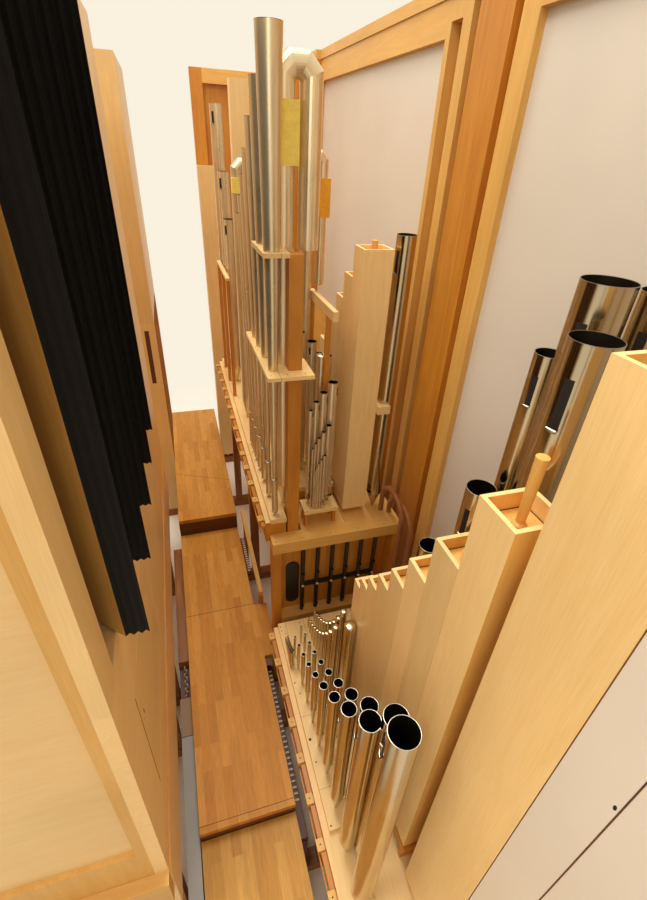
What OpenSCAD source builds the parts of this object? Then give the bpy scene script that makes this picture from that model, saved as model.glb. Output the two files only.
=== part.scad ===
// Pipe organ interior: a narrow walkway between an enclosed division with
// vertical shutters on the left and two open divisions of pipes on the right.
// X runs across the walkway, Y along it from the near end, Z up from the ground.

/* [Walkway] */
// Width of the walking boards
walk_w = 590; // [500:10:700]
// Thickness of the walking boards
walk_t = 40; // [25:1:50]
// Height of the middle board's top above the ground
walk_top = 700; // [600:10:800]
// Drop from the middle board to the near board
near_drop = 100; // [60:10:150]
// Rise from the middle board to the far board
far_rise = 200; // [100:10:250]
// Where the near board meets the middle one
near_board_end = 1336; // [1200:1:1400]
// Where the middle board meets the far one
middle_board_end = 3990; // [3900:10:4100]
// Width of the small landing beside the middle board
landing_w = 112; // [80:1:115]
// Length of the small landing
landing_l = 520; // [300:10:550]

/* [Case] */
// Length of the organ from front sill to end wall
organ_l = 6500; // [6450:10:6600]
// Height of the case
case_h = 4970; // [4900:10:5100]
// Distance of the right wall's inner face from the walkway's middle
wall_x = 1544; // [1500:1:1600]
// Thickness of the case posts
post_t = 110; // [90:5:140]
// Width of the front posts
front_post_w = 100; // [80:5:120]
// Width of the middle post
mid_post_w = 300; // [250:10:350]
// Where the middle post starts
mid_post_y = 2573; // [2550:1:2600]
// Width of the groove beside a post
groove_w = 64; // [50:1:70]
// Depth of the grooves
groove_d = 75; // [60:1:80]
// Width of the wide stiles of a panel frame
stile_w = 126; // [100:1:150]
// Width of the outer stile beside the far bay's slot
outer_stile_w = 92; // [80:1:100]
// Width of the far bay's slot
slot_w = 117; // [90:1:120]
// Width of the inner stile beside the slot
inner_stile_w = 51; // [40:1:60]
// Thickness of the panel frames
frame_t = 90; // [85:1:100]
// Depth of the panels behind the frame's face
panel_in = 40; // [30:1:50]
// Thickness of the panels
panel_t = 18; // [12:1:25]
// Height of the top rail
top_rail_h = 167; // [140:1:190]
// Height of the cornice strip
cornice_h = 70; // [50:1:90]
// Height of the upper panel's lower edge in the far bay
mid_rail_z = 2680; // [2500:10:2700]
// Height of the bottom rail of the case
bottom_rail_h = 200; // [150:10:250]
// Left edge of the end wall
end_wall_x = 350; // [320:10:400]
// Height of the end wall
end_wall_h = 4830; // [4700:10:4890]

/* [Swell box] */
// Distance of the swell front from the walkway's middle
swell_x = 406; // [390:1:430]
// Depth of the swell box
swell_d = 1100; // [1000:10:1200]
// Near face of the swell box
swell_y = 1035; // [1000:5:1060]
// Length of the swell box
swell_l = 3700; // [3600:10:3800]
// Underside of the swell box
swell_z = 760; // [720:5:780]
// Thickness of its walls
swell_t = 60; // [50:1:70]
// Height of the sill under the shutters
sill_z = 2690; // [2600:10:2800]
// Height of the rail over the shutters
swell_head_h = 60; // [40:5:90]
// Distance from the near face to the first shutter's pivot
first_pivot = 384; // [370:1:400]
// Distance from one shutter to the next
shutter_pitch = 367; // [340:1:380]
// Thickness of a shutter
shutter_t = 64; // [50:1:70]
// Gap between closed shutters, measured along the wall
shutter_gap = 10; // [9:1:14]
// Angle by which the shutters stand open
shutter_open = 48; // [40:1:55]
// Radius of the shutter pivots
pivot_r = 12; // [8:1:16]
// Depth of the felted teeth along a shutter's edge
tooth_h = 12; // [6:1:16]
// Height of the plinth along the swell front
plinth_h = 500; // [400:10:600]
// Near edge of the access door, from the near face
door_inset = 278; // [250:1:300]
// Width of the access door
door_w = 860; // [700:10:900]
// Height of the access door
door_h = 720; // [600:10:760]
// Height of the access door's lower edge
door_z = 1550; // [1450:10:1600]
// Width of the near face's stiles and top rail
face_rail = 105; // [80:1:130]
// Height of the ledge board on the near face
ledge_h = 214; // [180:1:240]

/* [Near division] */
// Height of the near toeboard's top
near_toe_z = 1000; // [980:10:1050]
// Left edge of the toeboards
toe_x = 418; // [410:1:430]
// Thickness of a toeboard
toe_t = 40; // [30:1:45]
// Height of a wind chest
chest_h = 180; // [150:5:200]
// Near end of the near chest
near_chest_y = 150; // [120:10:200]
// Far end of the near chest
near_chest_end = 2454; // [2400:1:2480]
// Width of the near chest
near_chest_w = 640; // [600:10:700]
// Near end of the near toeboard
near_toe_y = 1056; // [1000:1:1100]
// Length of a bung board's clamp
clamp_w = 46; // [36:1:56]
// How far a clamp stands out
clamp_d = 40; // [30:1:45]
// Distance from one clamp to the next
clamp_pitch = 228; // [200:1:250]
// Diameter of the largest principal
principal_d = 112; // [100:1:118]
// Height of the largest principal over the toeboard
principal_h = 1635; // [1500:5:1700]
// Height of the wood pipes' bench over the toeboard
bench_gap = 110; // [90:5:130]
// Front plane of the wood pipes
wood_x = 744; // [730:1:760]
// Width of the largest wood pipe in the row
wood_w = 176; // [150:1:180]
// Depth of the largest wood pipe in the row
wood_d = 188; // [160:1:200]
// Height of the largest wood pipe's top over the toeboard
wood_h = 2350; // [2200:10:2400]
// Near face of the largest wood pipe in the row
wood_y = 841; // [835:1:860]
// Width of the bass wood pipe
bass_w = 305; // [280:5:320]
// Depth of the bass wood pipe
bass_d = 260; // [220:5:275]
// Height of the bass wood pipe
bass_h = 2930; // [2700:10:3000]
// Diameter of the largest bass metal pipe
bass_pipe_d = 166; // [140:1:170]

/* [Far division] */
// Height of the far toeboard's top
far_toe_z = 1900; // [1850:10:1950]
// Near end of the far toeboard
far_toe_y = 2669; // [2650:1:2685]
// Distance from the far toeboard to the end of the organ
far_toe_back = 680; // [640:10:800]
// Width of the narrow near end of the far toeboard
far_strip_w = 118; // [100:1:120]
// Width of the far chest
far_chest_w = 620; // [580:10:660]
// Near face of the roller frame
roller_y = 2569; // [2560:1:2580]
// Depth of the roller frame
roller_frame_d = 120; // [100:5:125]
// Top of the roller frame's beam
beam_top = 1743; // [1700:1:1760]
// Height of the roller frame's beam
beam_h = 96; // [80:1:110]
// Width of the roller frame
roller_frame_w = 1027; // [980:1:1060]
// Diameter of a roller
roller_d = 34; // [25:1:40]
// Distance from one roller to the next
roller_pitch = 120; // [100:1:130]
// Number of rollers
roller_count = 6; // [4:1:6]
// Height of the middle rackboard's top
mid_rack_z = 3050; // [2980:10:3080]
// Height of the upper rackboard's top
upper_rack_z = 3724; // [3650:1:3740]
// Thickness of the rackboards
rack_t = 24; // [18:1:30]
// Width of the rack post
rack_post_w = 84; // [70:1:90]
// Diameter of the mitred pipe
mitre_d = 118; // [100:1:118]
// Height of the mitred pipe's bend
mitre_z = 4480; // [4400:10:4520]
// Diameter of the largest reed at its top
reed_d = 126; // [110:1:130]
// Height of the largest reed's top
reed_top = 4640; // [4500:10:4700]
// Width of the largest far wood pipe
far_wood_w = 171; // [150:1:180]
// Height of the largest far wood pipe
far_wood_h = 1973; // [1900:1:2000]
// Thickness of pipe metal
metal_t = 2; // [1.5:0.1:3]
// Thickness of pipe wood
plank_t = 16; // [12:1:20]
// Radius of the wind hoses
hose_r = 18; // [14:1:22]

/* [Hidden] */
$fn = 32;

// Colours
wood = "BurlyWood";
pale_wood = "Wheat";
brown_wood = "Peru";
white = "Ivory";
metal = "Silver";
black = [0.08, 0.08, 0.08];

// A box between two opposite corners.
module block(a, b) { translate(a) cube(b - a); }

// Walkway
near_top = walk_top - near_drop;
far_top = walk_top + far_rise;
board_gap = 2;
board_end_gap = 10;
bearer_w = 60;
bearer_h = 90;
riser_t = 20;
walk_half = walk_w / 2;

// Base frame
sill_d = 100;
sill_h = 100;
leg_w = 80;
leg_inset = 40;
near_end = -sill_d / 2;
far_end = organ_l - post_t;
swell_back = swell_x + swell_d;
near_sill_y = near_board_end - 110;
chest_sill_y = near_chest_end - 250;
roller_sill_y = roller_y + roller_frame_d / 2;
middle_sill_y = middle_board_end - 110;
far_sill_y = (middle_board_end + organ_l) / 2;
end_bearing_y = far_end - bearer_w;
end_sill_y = organ_l - sill_d / 2;
sill_ys = [
  0, near_sill_y, chest_sill_y, roller_sill_y, middle_sill_y, far_sill_y, end_bearing_y, end_sill_y
];

// Chests
chest_margin = 36;
chest_x = toe_x - chest_margin;
near_chest_z = near_toe_z - toe_t - chest_h;
far_chest_z = far_toe_z - toe_t - chest_h;
near_chest_x1 = chest_x + near_chest_w;
bass_gap = 8;
bass_chest_x = near_chest_x1 + bass_gap;
bass_chest_x1 = near_chest_x1 + 400;
bass_chest_y = near_chest_y + 600;
far_chest_x1 = chest_x + far_chest_w;
far_toe_end = organ_l - far_toe_back;
far_chest_y = roller_y + roller_frame_d;
far_mid_x = toe_x + 234;
far_mid_y = far_chest_y + 111;
far_wide_y = far_chest_y + 311;

// Each stand is two legs under a cross bar: left and right edge, place along Y, top.
near_stand = [chest_x + leg_inset, near_chest_x1 - leg_inset];
bass_stand = [near_chest_x1 + leg_inset, bass_chest_x1];
far_stand = [chest_x + leg_inset, far_chest_x1 - leg_inset];
swell_stand = [-swell_back + 20, -swell_x - 20];
stands = concat(
  [for (y = [near_sill_y, chest_sill_y], s = [near_stand, bass_stand]) [s[0], s[1], y, near_chest_z]],
  [for (y = [middle_sill_y, far_sill_y]) [far_stand[0], far_stand[1], y, far_chest_z]],
  [
    for (y = [near_sill_y, chest_sill_y, roller_sill_y, middle_sill_y])
      [swell_stand[0], swell_stand[1], y, swell_z]
  ]
);

// Each step: where it is, the lower board's top and the upper board's top.
steps = [[near_board_end, near_top, walk_top], [middle_board_end, walk_top, far_top]];
riser_end = board_gap + riser_t;

// Each run of bearers: start, end, top of its board, and where its short posts stand.
bearer_runs = [
  [near_end, near_board_end - board_end_gap, near_top, [0, near_sill_y]],
  [
    near_board_end + riser_end, middle_board_end - board_end_gap, walk_top,
    [chest_sill_y, roller_sill_y, middle_sill_y]
  ],
  [middle_board_end + riser_end, far_end, far_top, [far_sill_y, end_bearing_y]]
];
function bearer_x(side) = side * (walk_half - bearer_w) - bearer_w / 2;

module base_sills() {
  color(brown_wood)
    for (y = sill_ys)
      block([-swell_back, y - sill_d / 2, 0], [wall_x, y + sill_d / 2, sill_h]);
}

module base_legs() {
  color(brown_wood) {
    for (y = [0, near_sill_y, chest_sill_y, roller_sill_y, middle_sill_y])
      block([trunk_x + 10, y - 25, sill_h], [trunk_x1 - 10, y + 25, trunk_z]);
    block([far_trunk_x, far_trunk_end - leg_w, sill_h], [far_trunk_x1, far_trunk_end, far_trunk_z]);
    for (s = stands, x = [s[0], s[1] - leg_w])
      block([x, s[2] - leg_w / 2, sill_h], [x + leg_w, s[2] + leg_w / 2, s[3] - leg_w]);
    for (run = bearer_runs, side = [-1, 1], y = run[3])
      block(
        [bearer_x(side), y - bearer_w / 2, sill_h],
        [bearer_x(side) + bearer_w, y + bearer_w / 2, run[2] - walk_t - bearer_h]
      );
  }
}

module base_bearers() {
  color(brown_wood) {
    for (s = stands)
      block([s[0], s[2] - leg_w / 2, s[3] - leg_w], [s[1], s[2] + leg_w / 2, s[3]]);
    for (run = bearer_runs, side = [-1, 1])
      block(
        [bearer_x(side), run[0], run[2] - walk_t - bearer_h],
        [bearer_x(side) + bearer_w, run[1], run[2] - walk_t]
      );
  }
}

module walkboards() {
  color(wood) {
    block([-walk_half, near_end, near_top - walk_t], [walk_half, near_board_end - board_gap, near_top]);
    block(
      [-walk_half, near_board_end, walk_top - walk_t],
      [walk_half, middle_board_end - board_gap, walk_top]
    );
    block([-walk_half, middle_board_end, far_top - walk_t], [walk_half, far_end, far_top]);
  }
}

// The upright boards that close the two steps, under the front edge of the upper board.
module walk_risers() {
  color(wood)
    for (s = steps)
      block([-walk_half, s[0] + board_gap, s[1] - walk_t], [walk_half, s[0] + riser_end, s[2] - walk_t]);
}

module side_landing() {
  y0 = near_chest_end - 50;
  color(wood)
    block([walk_half, y0, walk_top - walk_t], [walk_half + landing_w, y0 + landing_l, walk_top]);
}

// Low trunks along the left of the walkway, carried by posts on the sills.
trunk_x = -walk_half - 90;
trunk_x1 = -walk_half - 8;
trunk_z = 500;
trunk_top = near_top - 8;
trunk_joint = 1985;
trunk_far_y = 2590;
module side_trunks() {
  color("Silver") block([trunk_x, near_end, trunk_z], [trunk_x1, trunk_joint, trunk_top]);
  color(wood)
    block([trunk_x, trunk_joint + 5, trunk_z], [trunk_x1, chest_sill_y + 70, trunk_top]);
  color(brown_wood)
    block([trunk_x, trunk_far_y, trunk_z], [trunk_x1, middle_sill_y + 30, trunk_top]);
}

// A closed trunk stands beside the far end of the walkway, on an inlaid board and a leg.
far_trunk_w = 165;
far_trunk_x1 = -walk_half - 6;
far_trunk_x = far_trunk_x1 - far_trunk_w;
far_trunk_y = far_sill_y - 40;
far_trunk_end = organ_l - 10;
far_trunk_z = 2580;
far_trunk_top = 4765;
far_board_t = 40;
inlay_w = 45;
inlay_h = 600;
inlay_x = far_trunk_x + 55;
inlay_depth = 8;
module far_trunk() {
  color(pale_wood)
    block([far_trunk_x, far_trunk_y, far_trunk_z], [far_trunk_x1, far_trunk_end, far_trunk_top]);
}

module far_trunk_board() {
  color(pale_wood)
    difference() {
      block([far_trunk_x, far_trunk_y, sill_h], [far_trunk_x1, far_trunk_y + far_board_t, far_trunk_z]);
      translate([inlay_x, far_trunk_y - 1, far_trunk_z - 80 - inlay_h])
        cube([inlay_w, inlay_depth + 1, inlay_h]);
    }
}

// Case
rail_z = case_h - cornice_h - top_rail_h;
frame_top = case_h - cornice_h;
wall_back = wall_x + frame_t;
mid_post_end = mid_post_y + mid_post_w;
far_post_y = organ_l - 848;
far_post_w = 169;
far_post_out = 52;
return_x = wood_x;
return_l = 412;
return_t = 24;
front_half = front_post_w / 2;
slot_top = rail_z + 65;
near_bay = [front_post_w / 2, mid_post_y];
far_bay = [mid_post_end, far_post_y];
near_panel = [near_bay[0] + groove_w + stile_w, near_bay[1] - groove_w - stile_w];
far_panel = [far_bay[0] + groove_w + outer_stile_w + slot_w + inner_stile_w, far_bay[1]];

module case_posts() {
  color(wood) {
    for (p = [[near_end, front_post_w], [mid_post_y, mid_post_w], [far_end, post_t]])
      block([wall_x, p[0], 0], [wall_x + post_t, p[0] + p[1], frame_top]);
    block([wall_x - far_post_out, far_post_y, 0], [wall_x + post_t, far_post_y + far_post_w, frame_top]);
  }
}

// A stile with the thin backing of the groove between it and its post.
function stile_section() = [
  [groove_d, 0], [groove_d, groove_w], [0, groove_w], [0, groove_w + stile_w],
  [frame_t, groove_w + stile_w], [frame_t, 0]
];

// The two stiles beside the middle post, with a groove and a slot.
slot_y = groove_w + outer_stile_w;
function slotted_section() = [
  [groove_d, 0], [groove_d, groove_w], [0, groove_w], [0, slot_y], [groove_d, slot_y],
  [groove_d, slot_y + slot_w], [0, slot_y + slot_w], [0, slot_y + slot_w + inner_stile_w],
  [frame_t, slot_y + slot_w + inner_stile_w], [frame_t, 0]
];

module case_stiles() {
  color(wood)
    translate([wall_x, 0, 0]) {
      translate([0, near_bay[0], 0])
        linear_extrude(height = frame_top) polygon(stile_section());
      translate([0, near_bay[1], 0])
        mirror([0, 1, 0])
          linear_extrude(height = frame_top) polygon(stile_section());
      translate([0, far_bay[0], 0]) {
        linear_extrude(height = frame_top) polygon(slotted_section());
        block([0, slot_y, slot_top], [groove_d, slot_y + slot_w, frame_top]);
      }
    }
}

// The rails of the right wall, and the one that ties the portal to the swell box.
module case_crossrails() {
  color(wood) {
    for (r = [
      [near_panel, 0, bottom_rail_h], [near_panel, rail_z, frame_top],
      [far_panel, 0, mid_rail_z], [far_panel, rail_z, frame_top],
      [[far_post_y + far_post_w, far_end], 0, frame_top]
    ])
      block([wall_x, r[0][0], r[1]], [wall_back, r[0][1], r[2]]);
    block([-swell_x - post_t, front_half, rail_z], [-swell_x, swell_y, frame_top]);
  }
}

cornice_out = 10;
module case_cornice() {
  color(wood) {
    block([wall_x - cornice_out, near_end, frame_top], [wall_x + post_t, organ_l, case_h]);
    block([wall_x - far_post_out, far_post_y, frame_top], [wall_x, far_post_y + far_post_w, case_h]);
  }
}

// White panels: two sunk in the right wall, one over the front sill, one beside the bass pipe.
module white_panels() {
  color(white) {
    for (p = [[near_panel, bottom_rail_h], [far_panel, mid_rail_z]])
      block([wall_x + panel_in, p[0][0], p[1]], [wall_x + panel_in + panel_t, p[0][1], rail_z]);
    block([return_x + post_t, -return_t / 2, sill_h], [wall_x, return_t / 2, rail_z]);
    block(
      [return_x, front_half, near_toe_z - toe_t],
      [return_x + return_t, front_half + return_l, rail_z]
    );
  }
}

// Front: a portal over the walkway's near end.
// End wall: an orange frame round a sunk panel.
end_wall_y = organ_l - frame_t;
module portal_posts() {
  color(wood)
    for (x = [-swell_x - post_t, return_x])
      block([x, -front_half, sill_h], [x + post_t, front_half, rail_z]);
  color(brown_wood)
    for (x = [end_wall_x, wall_x - stile_w])
      block([x, end_wall_y, sill_h], [x + stile_w, organ_l, end_wall_h]);
}

module portal_rails() {
  color(wood)
    block([-swell_x - post_t, -front_half, rail_z], [wall_x, front_half, frame_top]);
  color(brown_wood)
    for (z = [sill_h, end_wall_h - stile_w])
      block([end_wall_x + stile_w, end_wall_y, z], [wall_x - stile_w, organ_l, z + stile_w]);
}

module end_panel() {
  color(brown_wood)
    block(
      [end_wall_x + stile_w, organ_l - frame_t / 2 - panel_t / 2, sill_h + stile_w],
      [wall_x - stile_w, organ_l - frame_t / 2 + panel_t / 2, end_wall_h - stile_w]
    );
}

// Swell box
swell_end = swell_y + swell_l;
swell_front_x = -swell_x - swell_t;
pivot_x = swell_x + swell_t;
bevel = shutter_t * tan(shutter_open);
tooth_count = 7;
shutter_count = 5;
pivot_step = 10;
pivot_board_t = 40;
shutter_z = sill_z + pivot_step;
first_pivot_y = swell_y + first_pivot;
opening_play = 4;
opening_top = frame_top - swell_head_h - pivot_board_t;
shutter_open_h = opening_top - sill_z;
shutter_h = shutter_open_h - 2 * pivot_step;
opening_y = first_pivot_y - (shutter_pitch + bevel) / 2 - shutter_gap - opening_play;
opening_end = opening_y + shutter_count * shutter_pitch + bevel + 2 * (shutter_gap + opening_play);
pivot_board_x = -pivot_x - 60;
pin_depth = 20;
pin_play = 0.05;
plinth_t = 8;
door_y = swell_y + door_inset;
door_gap = 3;
face_sunk = 24;
ledge_z = 1070;
ledge_d = 60;

module swell_front_wall() {
  color(wood)
    difference() {
      union() {
        block([swell_front_x, swell_y, swell_z], [-swell_x, swell_end, sill_z - pivot_board_t]);
        block([-swell_x, swell_y, swell_z], [-swell_x + plinth_t, swell_end, swell_z + plinth_h]);
      }
      block([-swell_x - panel_t, door_y, door_z], [-swell_x + 1, door_y + door_w, door_z + door_h]);
    }
}

module swell_front_stiles() {
  color(wood)
    for (y = [[swell_y, opening_y], [opening_end, swell_end]])
      block([swell_front_x, y[0], sill_z - pivot_board_t], [-swell_x, y[1], frame_top]);
}

module swell_front_header() {
  color(wood)
    block([swell_front_x, opening_y, opening_top + pivot_board_t], [-swell_x, opening_end, frame_top]);
}

module pivot_holes(z) {
  for (i = [0 : shutter_count - 1])
    translate([-pivot_x, first_pivot_y + i * shutter_pitch, z]) cylinder(h = pin_depth + 1, r = pivot_r);
}

// The boards below and above the shutters, bored for their pins.
module swell_pivot_boards() {
  color(wood)
    difference() {
      for (z = [sill_z - pivot_board_t, opening_top])
        block([pivot_board_x, opening_y, z], [-swell_x, opening_end, z + pivot_board_t]);
      for (z = [sill_z - pin_depth, opening_top - 1])
        pivot_holes(z);
    }
}

module swell_access_door() {
  color(pale_wood)
    block(
      [-swell_x - panel_t, door_y + door_gap, door_z + door_gap],
      [-swell_x, door_y + door_w - door_gap, door_z + door_h - door_gap]
    );
}

module swell_near_wall() {
  color(wood) {
    difference() {
      block([-swell_back, swell_y, swell_z], [swell_front_x, swell_y + swell_t, frame_top]);
      block(
        [-swell_back + face_rail, swell_y - 1, door_z],
        [-swell_x - face_rail, swell_y + face_sunk, frame_top - face_rail]
      );
    }
    block([-swell_back, swell_y - ledge_d, ledge_z], [-swell_x, swell_y, ledge_z + ledge_h]);
  }
}

module swell_back_wall() {
  color(wood)
    block([-swell_back, swell_y + swell_t, swell_z], [-swell_back + swell_t, swell_end, frame_top]);
}

module swell_far_wall() {
  color(wood)
    block([-swell_back + swell_t, swell_end - swell_t, swell_z], [swell_front_x, swell_end, frame_top]);
}

// The floor and the roof, between the walls.
module swell_inner_boards() {
  color(wood)
    for (z = [swell_z, frame_top - swell_t])
      block(
        [-swell_back + swell_t, swell_y + swell_t, z],
        [swell_front_x, swell_end - swell_t, z + swell_t]
      );
}

// One bevelled edge of a closed shutter, from the inner face to the outer one, with felted teeth.
function edge_points(mid_y) = [
  for (i = [0 : tooth_count])
    let (s = (i / tooth_count - 0.5) * shutter_t / cos(shutter_open), t = odd(i) * tooth_h)
    [
      s * cos(shutter_open) - t * sin(shutter_open),
      mid_y - s * sin(shutter_open) - t * cos(shutter_open)
    ]
];

function reversed(list) = [for (i = [len(list) - 1 : -1 : 0]) list[i]];
function odd(i) = i % 2;

// A shutter stands open at rest. Its pins turn in the sill and head boards.
pin_l = pivot_step + pin_depth - 1;
module shutter(i) {
  half = (shutter_pitch - shutter_gap) / 2;
  color(black)
    translate([-pivot_x, first_pivot_y + i * shutter_pitch, shutter_z])
      rotate([0, 0, shutter_open]) {
        linear_extrude(height = shutter_h)
          polygon(concat(edge_points(-half), reversed(edge_points(half))));
        translate([0, 0, -pin_l]) cylinder(h = pin_l, r = pivot_r - pin_play);
        translate([0, 0, shutter_h]) cylinder(h = pin_l, r = pivot_r - pin_play);
      }
}

// Near division
module near_chest() {
  top = near_toe_z - toe_t;
  color(brown_wood) {
    block([chest_x, near_chest_y, near_chest_z], [near_chest_x1, near_chest_end, top]);
    block([bass_chest_x, bass_chest_y, near_chest_z], [bass_chest_x1, near_chest_end, top]);
  }
}

// Clamps that hold the bung boards along a chest's side: a block with a sloping wedge.
near_clamp_y = near_chest_y + 170;
far_clamp_y = far_chest_y + 60;
clamp_drop = 20;
clamp_h = 70;
module clamp(y, top) {
  translate([chest_x, y + clamp_w, top - clamp_drop])
    rotate([90, 0, 0])
      linear_extrude(height = clamp_w)
        polygon([
          [0, 0], [-clamp_d / 2, 0], [-clamp_d, -clamp_h * 0.4], [-clamp_d, -clamp_h], [0, -clamp_h]
        ]);
}

module chest_clamps() {
  color(pale_wood) {
    for (y = [near_clamp_y : clamp_pitch : near_chest_end - clamp_w]) clamp(y, near_toe_z - toe_t);
    for (y = [far_clamp_y : clamp_pitch : far_toe_end - clamp_w]) clamp(y, far_toe_z - toe_t);
  }
}

module near_toeboard() {
  z0 = near_toe_z - toe_t;
  color(pale_wood) {
    block([toe_x, near_toe_y, z0], [near_chest_x1, near_chest_end, near_toe_z]);
    block([bass_chest_x, bass_chest_y, z0], [bass_chest_x1, near_chest_end, near_toe_z]);
  }
}

// What a pipe stands on at a place along the near chest.
function near_base(y) = y < near_toe_y ? near_toe_z - toe_t : near_toe_z;

// Partial sum of a shrinking row: how far pipe i stands from pipe 0.
function row_sum(step, ratio, i) = step * (1 - pow(ratio, i)) / (1 - ratio);

// An open metal pipe on its conical foot, with its mouth towards turn.
module metal_pipe(d, h, foot, turn = 0) {
  r = d / 2;
  tip = min(8, r * 0.6);
  wall = min(metal_t, r * 0.2);
  mouth_h = d * 0.22;
  rotate([0, 0, turn])
    difference() {
      union() {
        cylinder(h = foot, r1 = tip, r2 = r);
        translate([0, 0, foot]) cylinder(h = h - foot, r = r);
      }
      translate([0, 0, foot + wall]) cylinder(h = h, r = r - wall);
      translate([r * 0.6, -r * 0.7, foot + wall]) cube([r, r * 1.4, mouth_h]);
    }
}

// A stopped metal pipe with a domed cap.
module capped_pipe(d, h, foot) {
  r = d / 2;
  cap_h = min(90, h * 0.3);
  cap_t = min(1.5, r * 0.12);
  rotate_extrude()
    polygon(concat(
      [[0, 0], [min(6, r * 0.5), 0], [r - cap_t, foot], [r - cap_t, h - cap_h], [r, h - cap_h]],
      [for (a = [0 : 15 : 90]) [r * cos(a), h - r * 0.3 + r * 0.3 * sin(a)]]
    ));
}

// The principal rank, numbered from the largest pipe at the near end.
principal_count = 20;
principal_y = 750;
principal_rows = 72;
odd_shift = 45;
function principal_size(i) = principal_d * pow(0.905, i);
function principal_height(i) = principal_h * pow(0.894, i) * (1 - 0.035 * odd(i));
function principal_x(i) = toe_x + 66 + odd(i) * principal_rows;
function principal_place(i) = principal_y + row_sum(108, 0.96, i) + odd(i) * odd_shift;

module near_principals() {
  color(metal)
    for (i = [0 : principal_count - 1]) {
      base = near_base(principal_place(i));
      translate([principal_x(i), principal_place(i), base])
        metal_pipe(
          principal_size(i), near_toe_z + principal_height(i) - base, min(160, principal_height(i) * 0.3)
        );
    }
}

// Two ranks of stopped flutes beside the bench.
flute_count = 10;
flute_rows = 60;
flute_x = wood_x - 40 - flute_rows;
function flute_size(i) = 42 * pow(0.9, i);
flute_y = 1793;
flute_pitch = 74;
function flute_place(i) = flute_y + row_sum(flute_pitch, 0.96, i);
function flute_height(i) = 758 * pow(0.815, i);

// The flutes, one larger stopped pipe, and two ranks of tiny pipes on the toeboard's left.
mixture_count = 9;
module near_small_pipes() {
  color(metal) {
    for (i = [0 : flute_count - 1], k = [0, 1])
      translate([flute_x + flute_rows * k, flute_place(i) + 40 * k, near_toe_z])
        capped_pipe(
          flute_size(i), max(90, flute_height(i) * (1 + 0.1 * k)), min(70, flute_height(i) * 0.3)
        );
    translate([flute_x + flute_rows, flute_y - flute_pitch, near_toe_z]) capped_pipe(73, 850, 110);
    for (i = [0 : mixture_count - 1], k = [0, 1])
      translate([toe_x + 15 + 18 * k + i, 2058 + 26 * i + 12 * k, near_toe_z])
        metal_pipe(15 - 0.6 * i, 190 * pow(0.88, i), 25);
  }
}

// The low bench that lifts the wood pipes off the chest.
bench_t = 26;
bench_z = near_toe_z + bench_gap;
bench_leg = 24;
wood_count = 8;
wood_ratio = 0.893;
wood_depth_ratio = 0.93;
wood_play = 1;
function wood_width(i) = wood_w * pow(wood_ratio, i);
function wood_start(i) = wood_y + row_sum(wood_w, wood_ratio, i);
function wood_depth(i) = wood_d * pow(wood_depth_ratio, i);
function wood_height(i) = wood_h / (1 + 0.157 * i) - bench_gap;
bench_x = wood_x;
bench_x1 = wood_x + wood_d + 20;
bench_y = wood_y - 10;
bench_end = wood_start(wood_count) + 20;

module near_wood_bench() {
  color(brown_wood) {
    block([bench_x, bench_y, bench_z - bench_t], [bench_x1, bench_end, bench_z]);
    for (y = [bench_y + 20, bench_end - 20 - bench_leg])
      block([bench_x + 10, y, near_base(y)], [bench_x1 - 10, y + bench_leg, bench_z - bench_t]);
  }
}

// A square wood pipe on a round foot, w along y and d along x, open at the top, with its
// mouth on the far side from the walkway.
module wood_pipe(w, d, h, foot = 50) {
  block_h = w * 0.6;
  mouth_h = w * 0.28;
  translate([0, 0, foot])
    difference() {
      cube([d, w, h - foot]);
      translate([plank_t, plank_t, block_h]) cube([d - 2 * plank_t, w - 2 * plank_t, h]);
      translate([d - plank_t - 1, plank_t * 1.5, block_h]) cube([plank_t + 2, w - 3 * plank_t, mouth_h]);
    }
  translate([d / 2, w / 2, 0]) cylinder(h = foot, r = min(w, d) * 0.16);
}

// A stopper inside a wood pipe's top, with its turned handle.
module stopper(w, d, handle_h) {
  gap = plank_t + 0.3;
  z0 = -w * 0.35;
  block([gap, gap, z0 - w * 0.45], [d - gap, w - gap, z0]);
  translate([d / 2, w / 2, z0]) cylinder(h = handle_h, r1 = w * 0.08, r2 = w * 0.11);
}

// The bass pipes behind the wood row: place from the chest's corner, diameter ratio, height.
near_bass = [
  [14, 933, 0.9, 2790], [164, 1096, 1, 2903], [340, 1030, 0.95, 2880],
  [34, 1232, 0.75, 2046], [172, 1240, 0.66, 2620], [64, 1528, 0.7, 1436]
];

// Roller frame between the two divisions.
roller_x = chest_x + 30;
roller_x1 = roller_x + roller_frame_w;
roller_post_w = 62;
roller_rail_z = 800;
roller_rail_h = 100;
plank_h = 40;
plank_gap = 4;
plank_x = far_mid_x + plank_gap;
rear_x = far_chest_x1 + 10;
rear_leg_w = 62;
rear_end = 3620;
side_rail_x = 348;
side_rail_y = 2930;
side_rail_w = 36;
side_rail_z = 800;

module roller_posts() {
  color(wood) {
    block([side_rail_x, side_rail_y, 0], [side_rail_x + side_rail_w, side_rail_y + 60, side_rail_z]);
    block(
      [side_rail_x, middle_sill_y - 30, sill_h],
      [side_rail_x + side_rail_w, middle_sill_y + 30, side_rail_z]
    );
    for (x = [roller_x, roller_x1 - roller_post_w])
      block([x, roller_y, sill_h], [x + roller_post_w, far_chest_y, beam_top - beam_h]);
    for (y = [far_wide_y - rear_leg_w, rear_end - rear_leg_w], x = [rear_x, roller_x1 - rear_leg_w])
      block([x, y, 0], [x + rear_leg_w, y + rear_leg_w, beam_top - plank_h]);
  }
}

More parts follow.
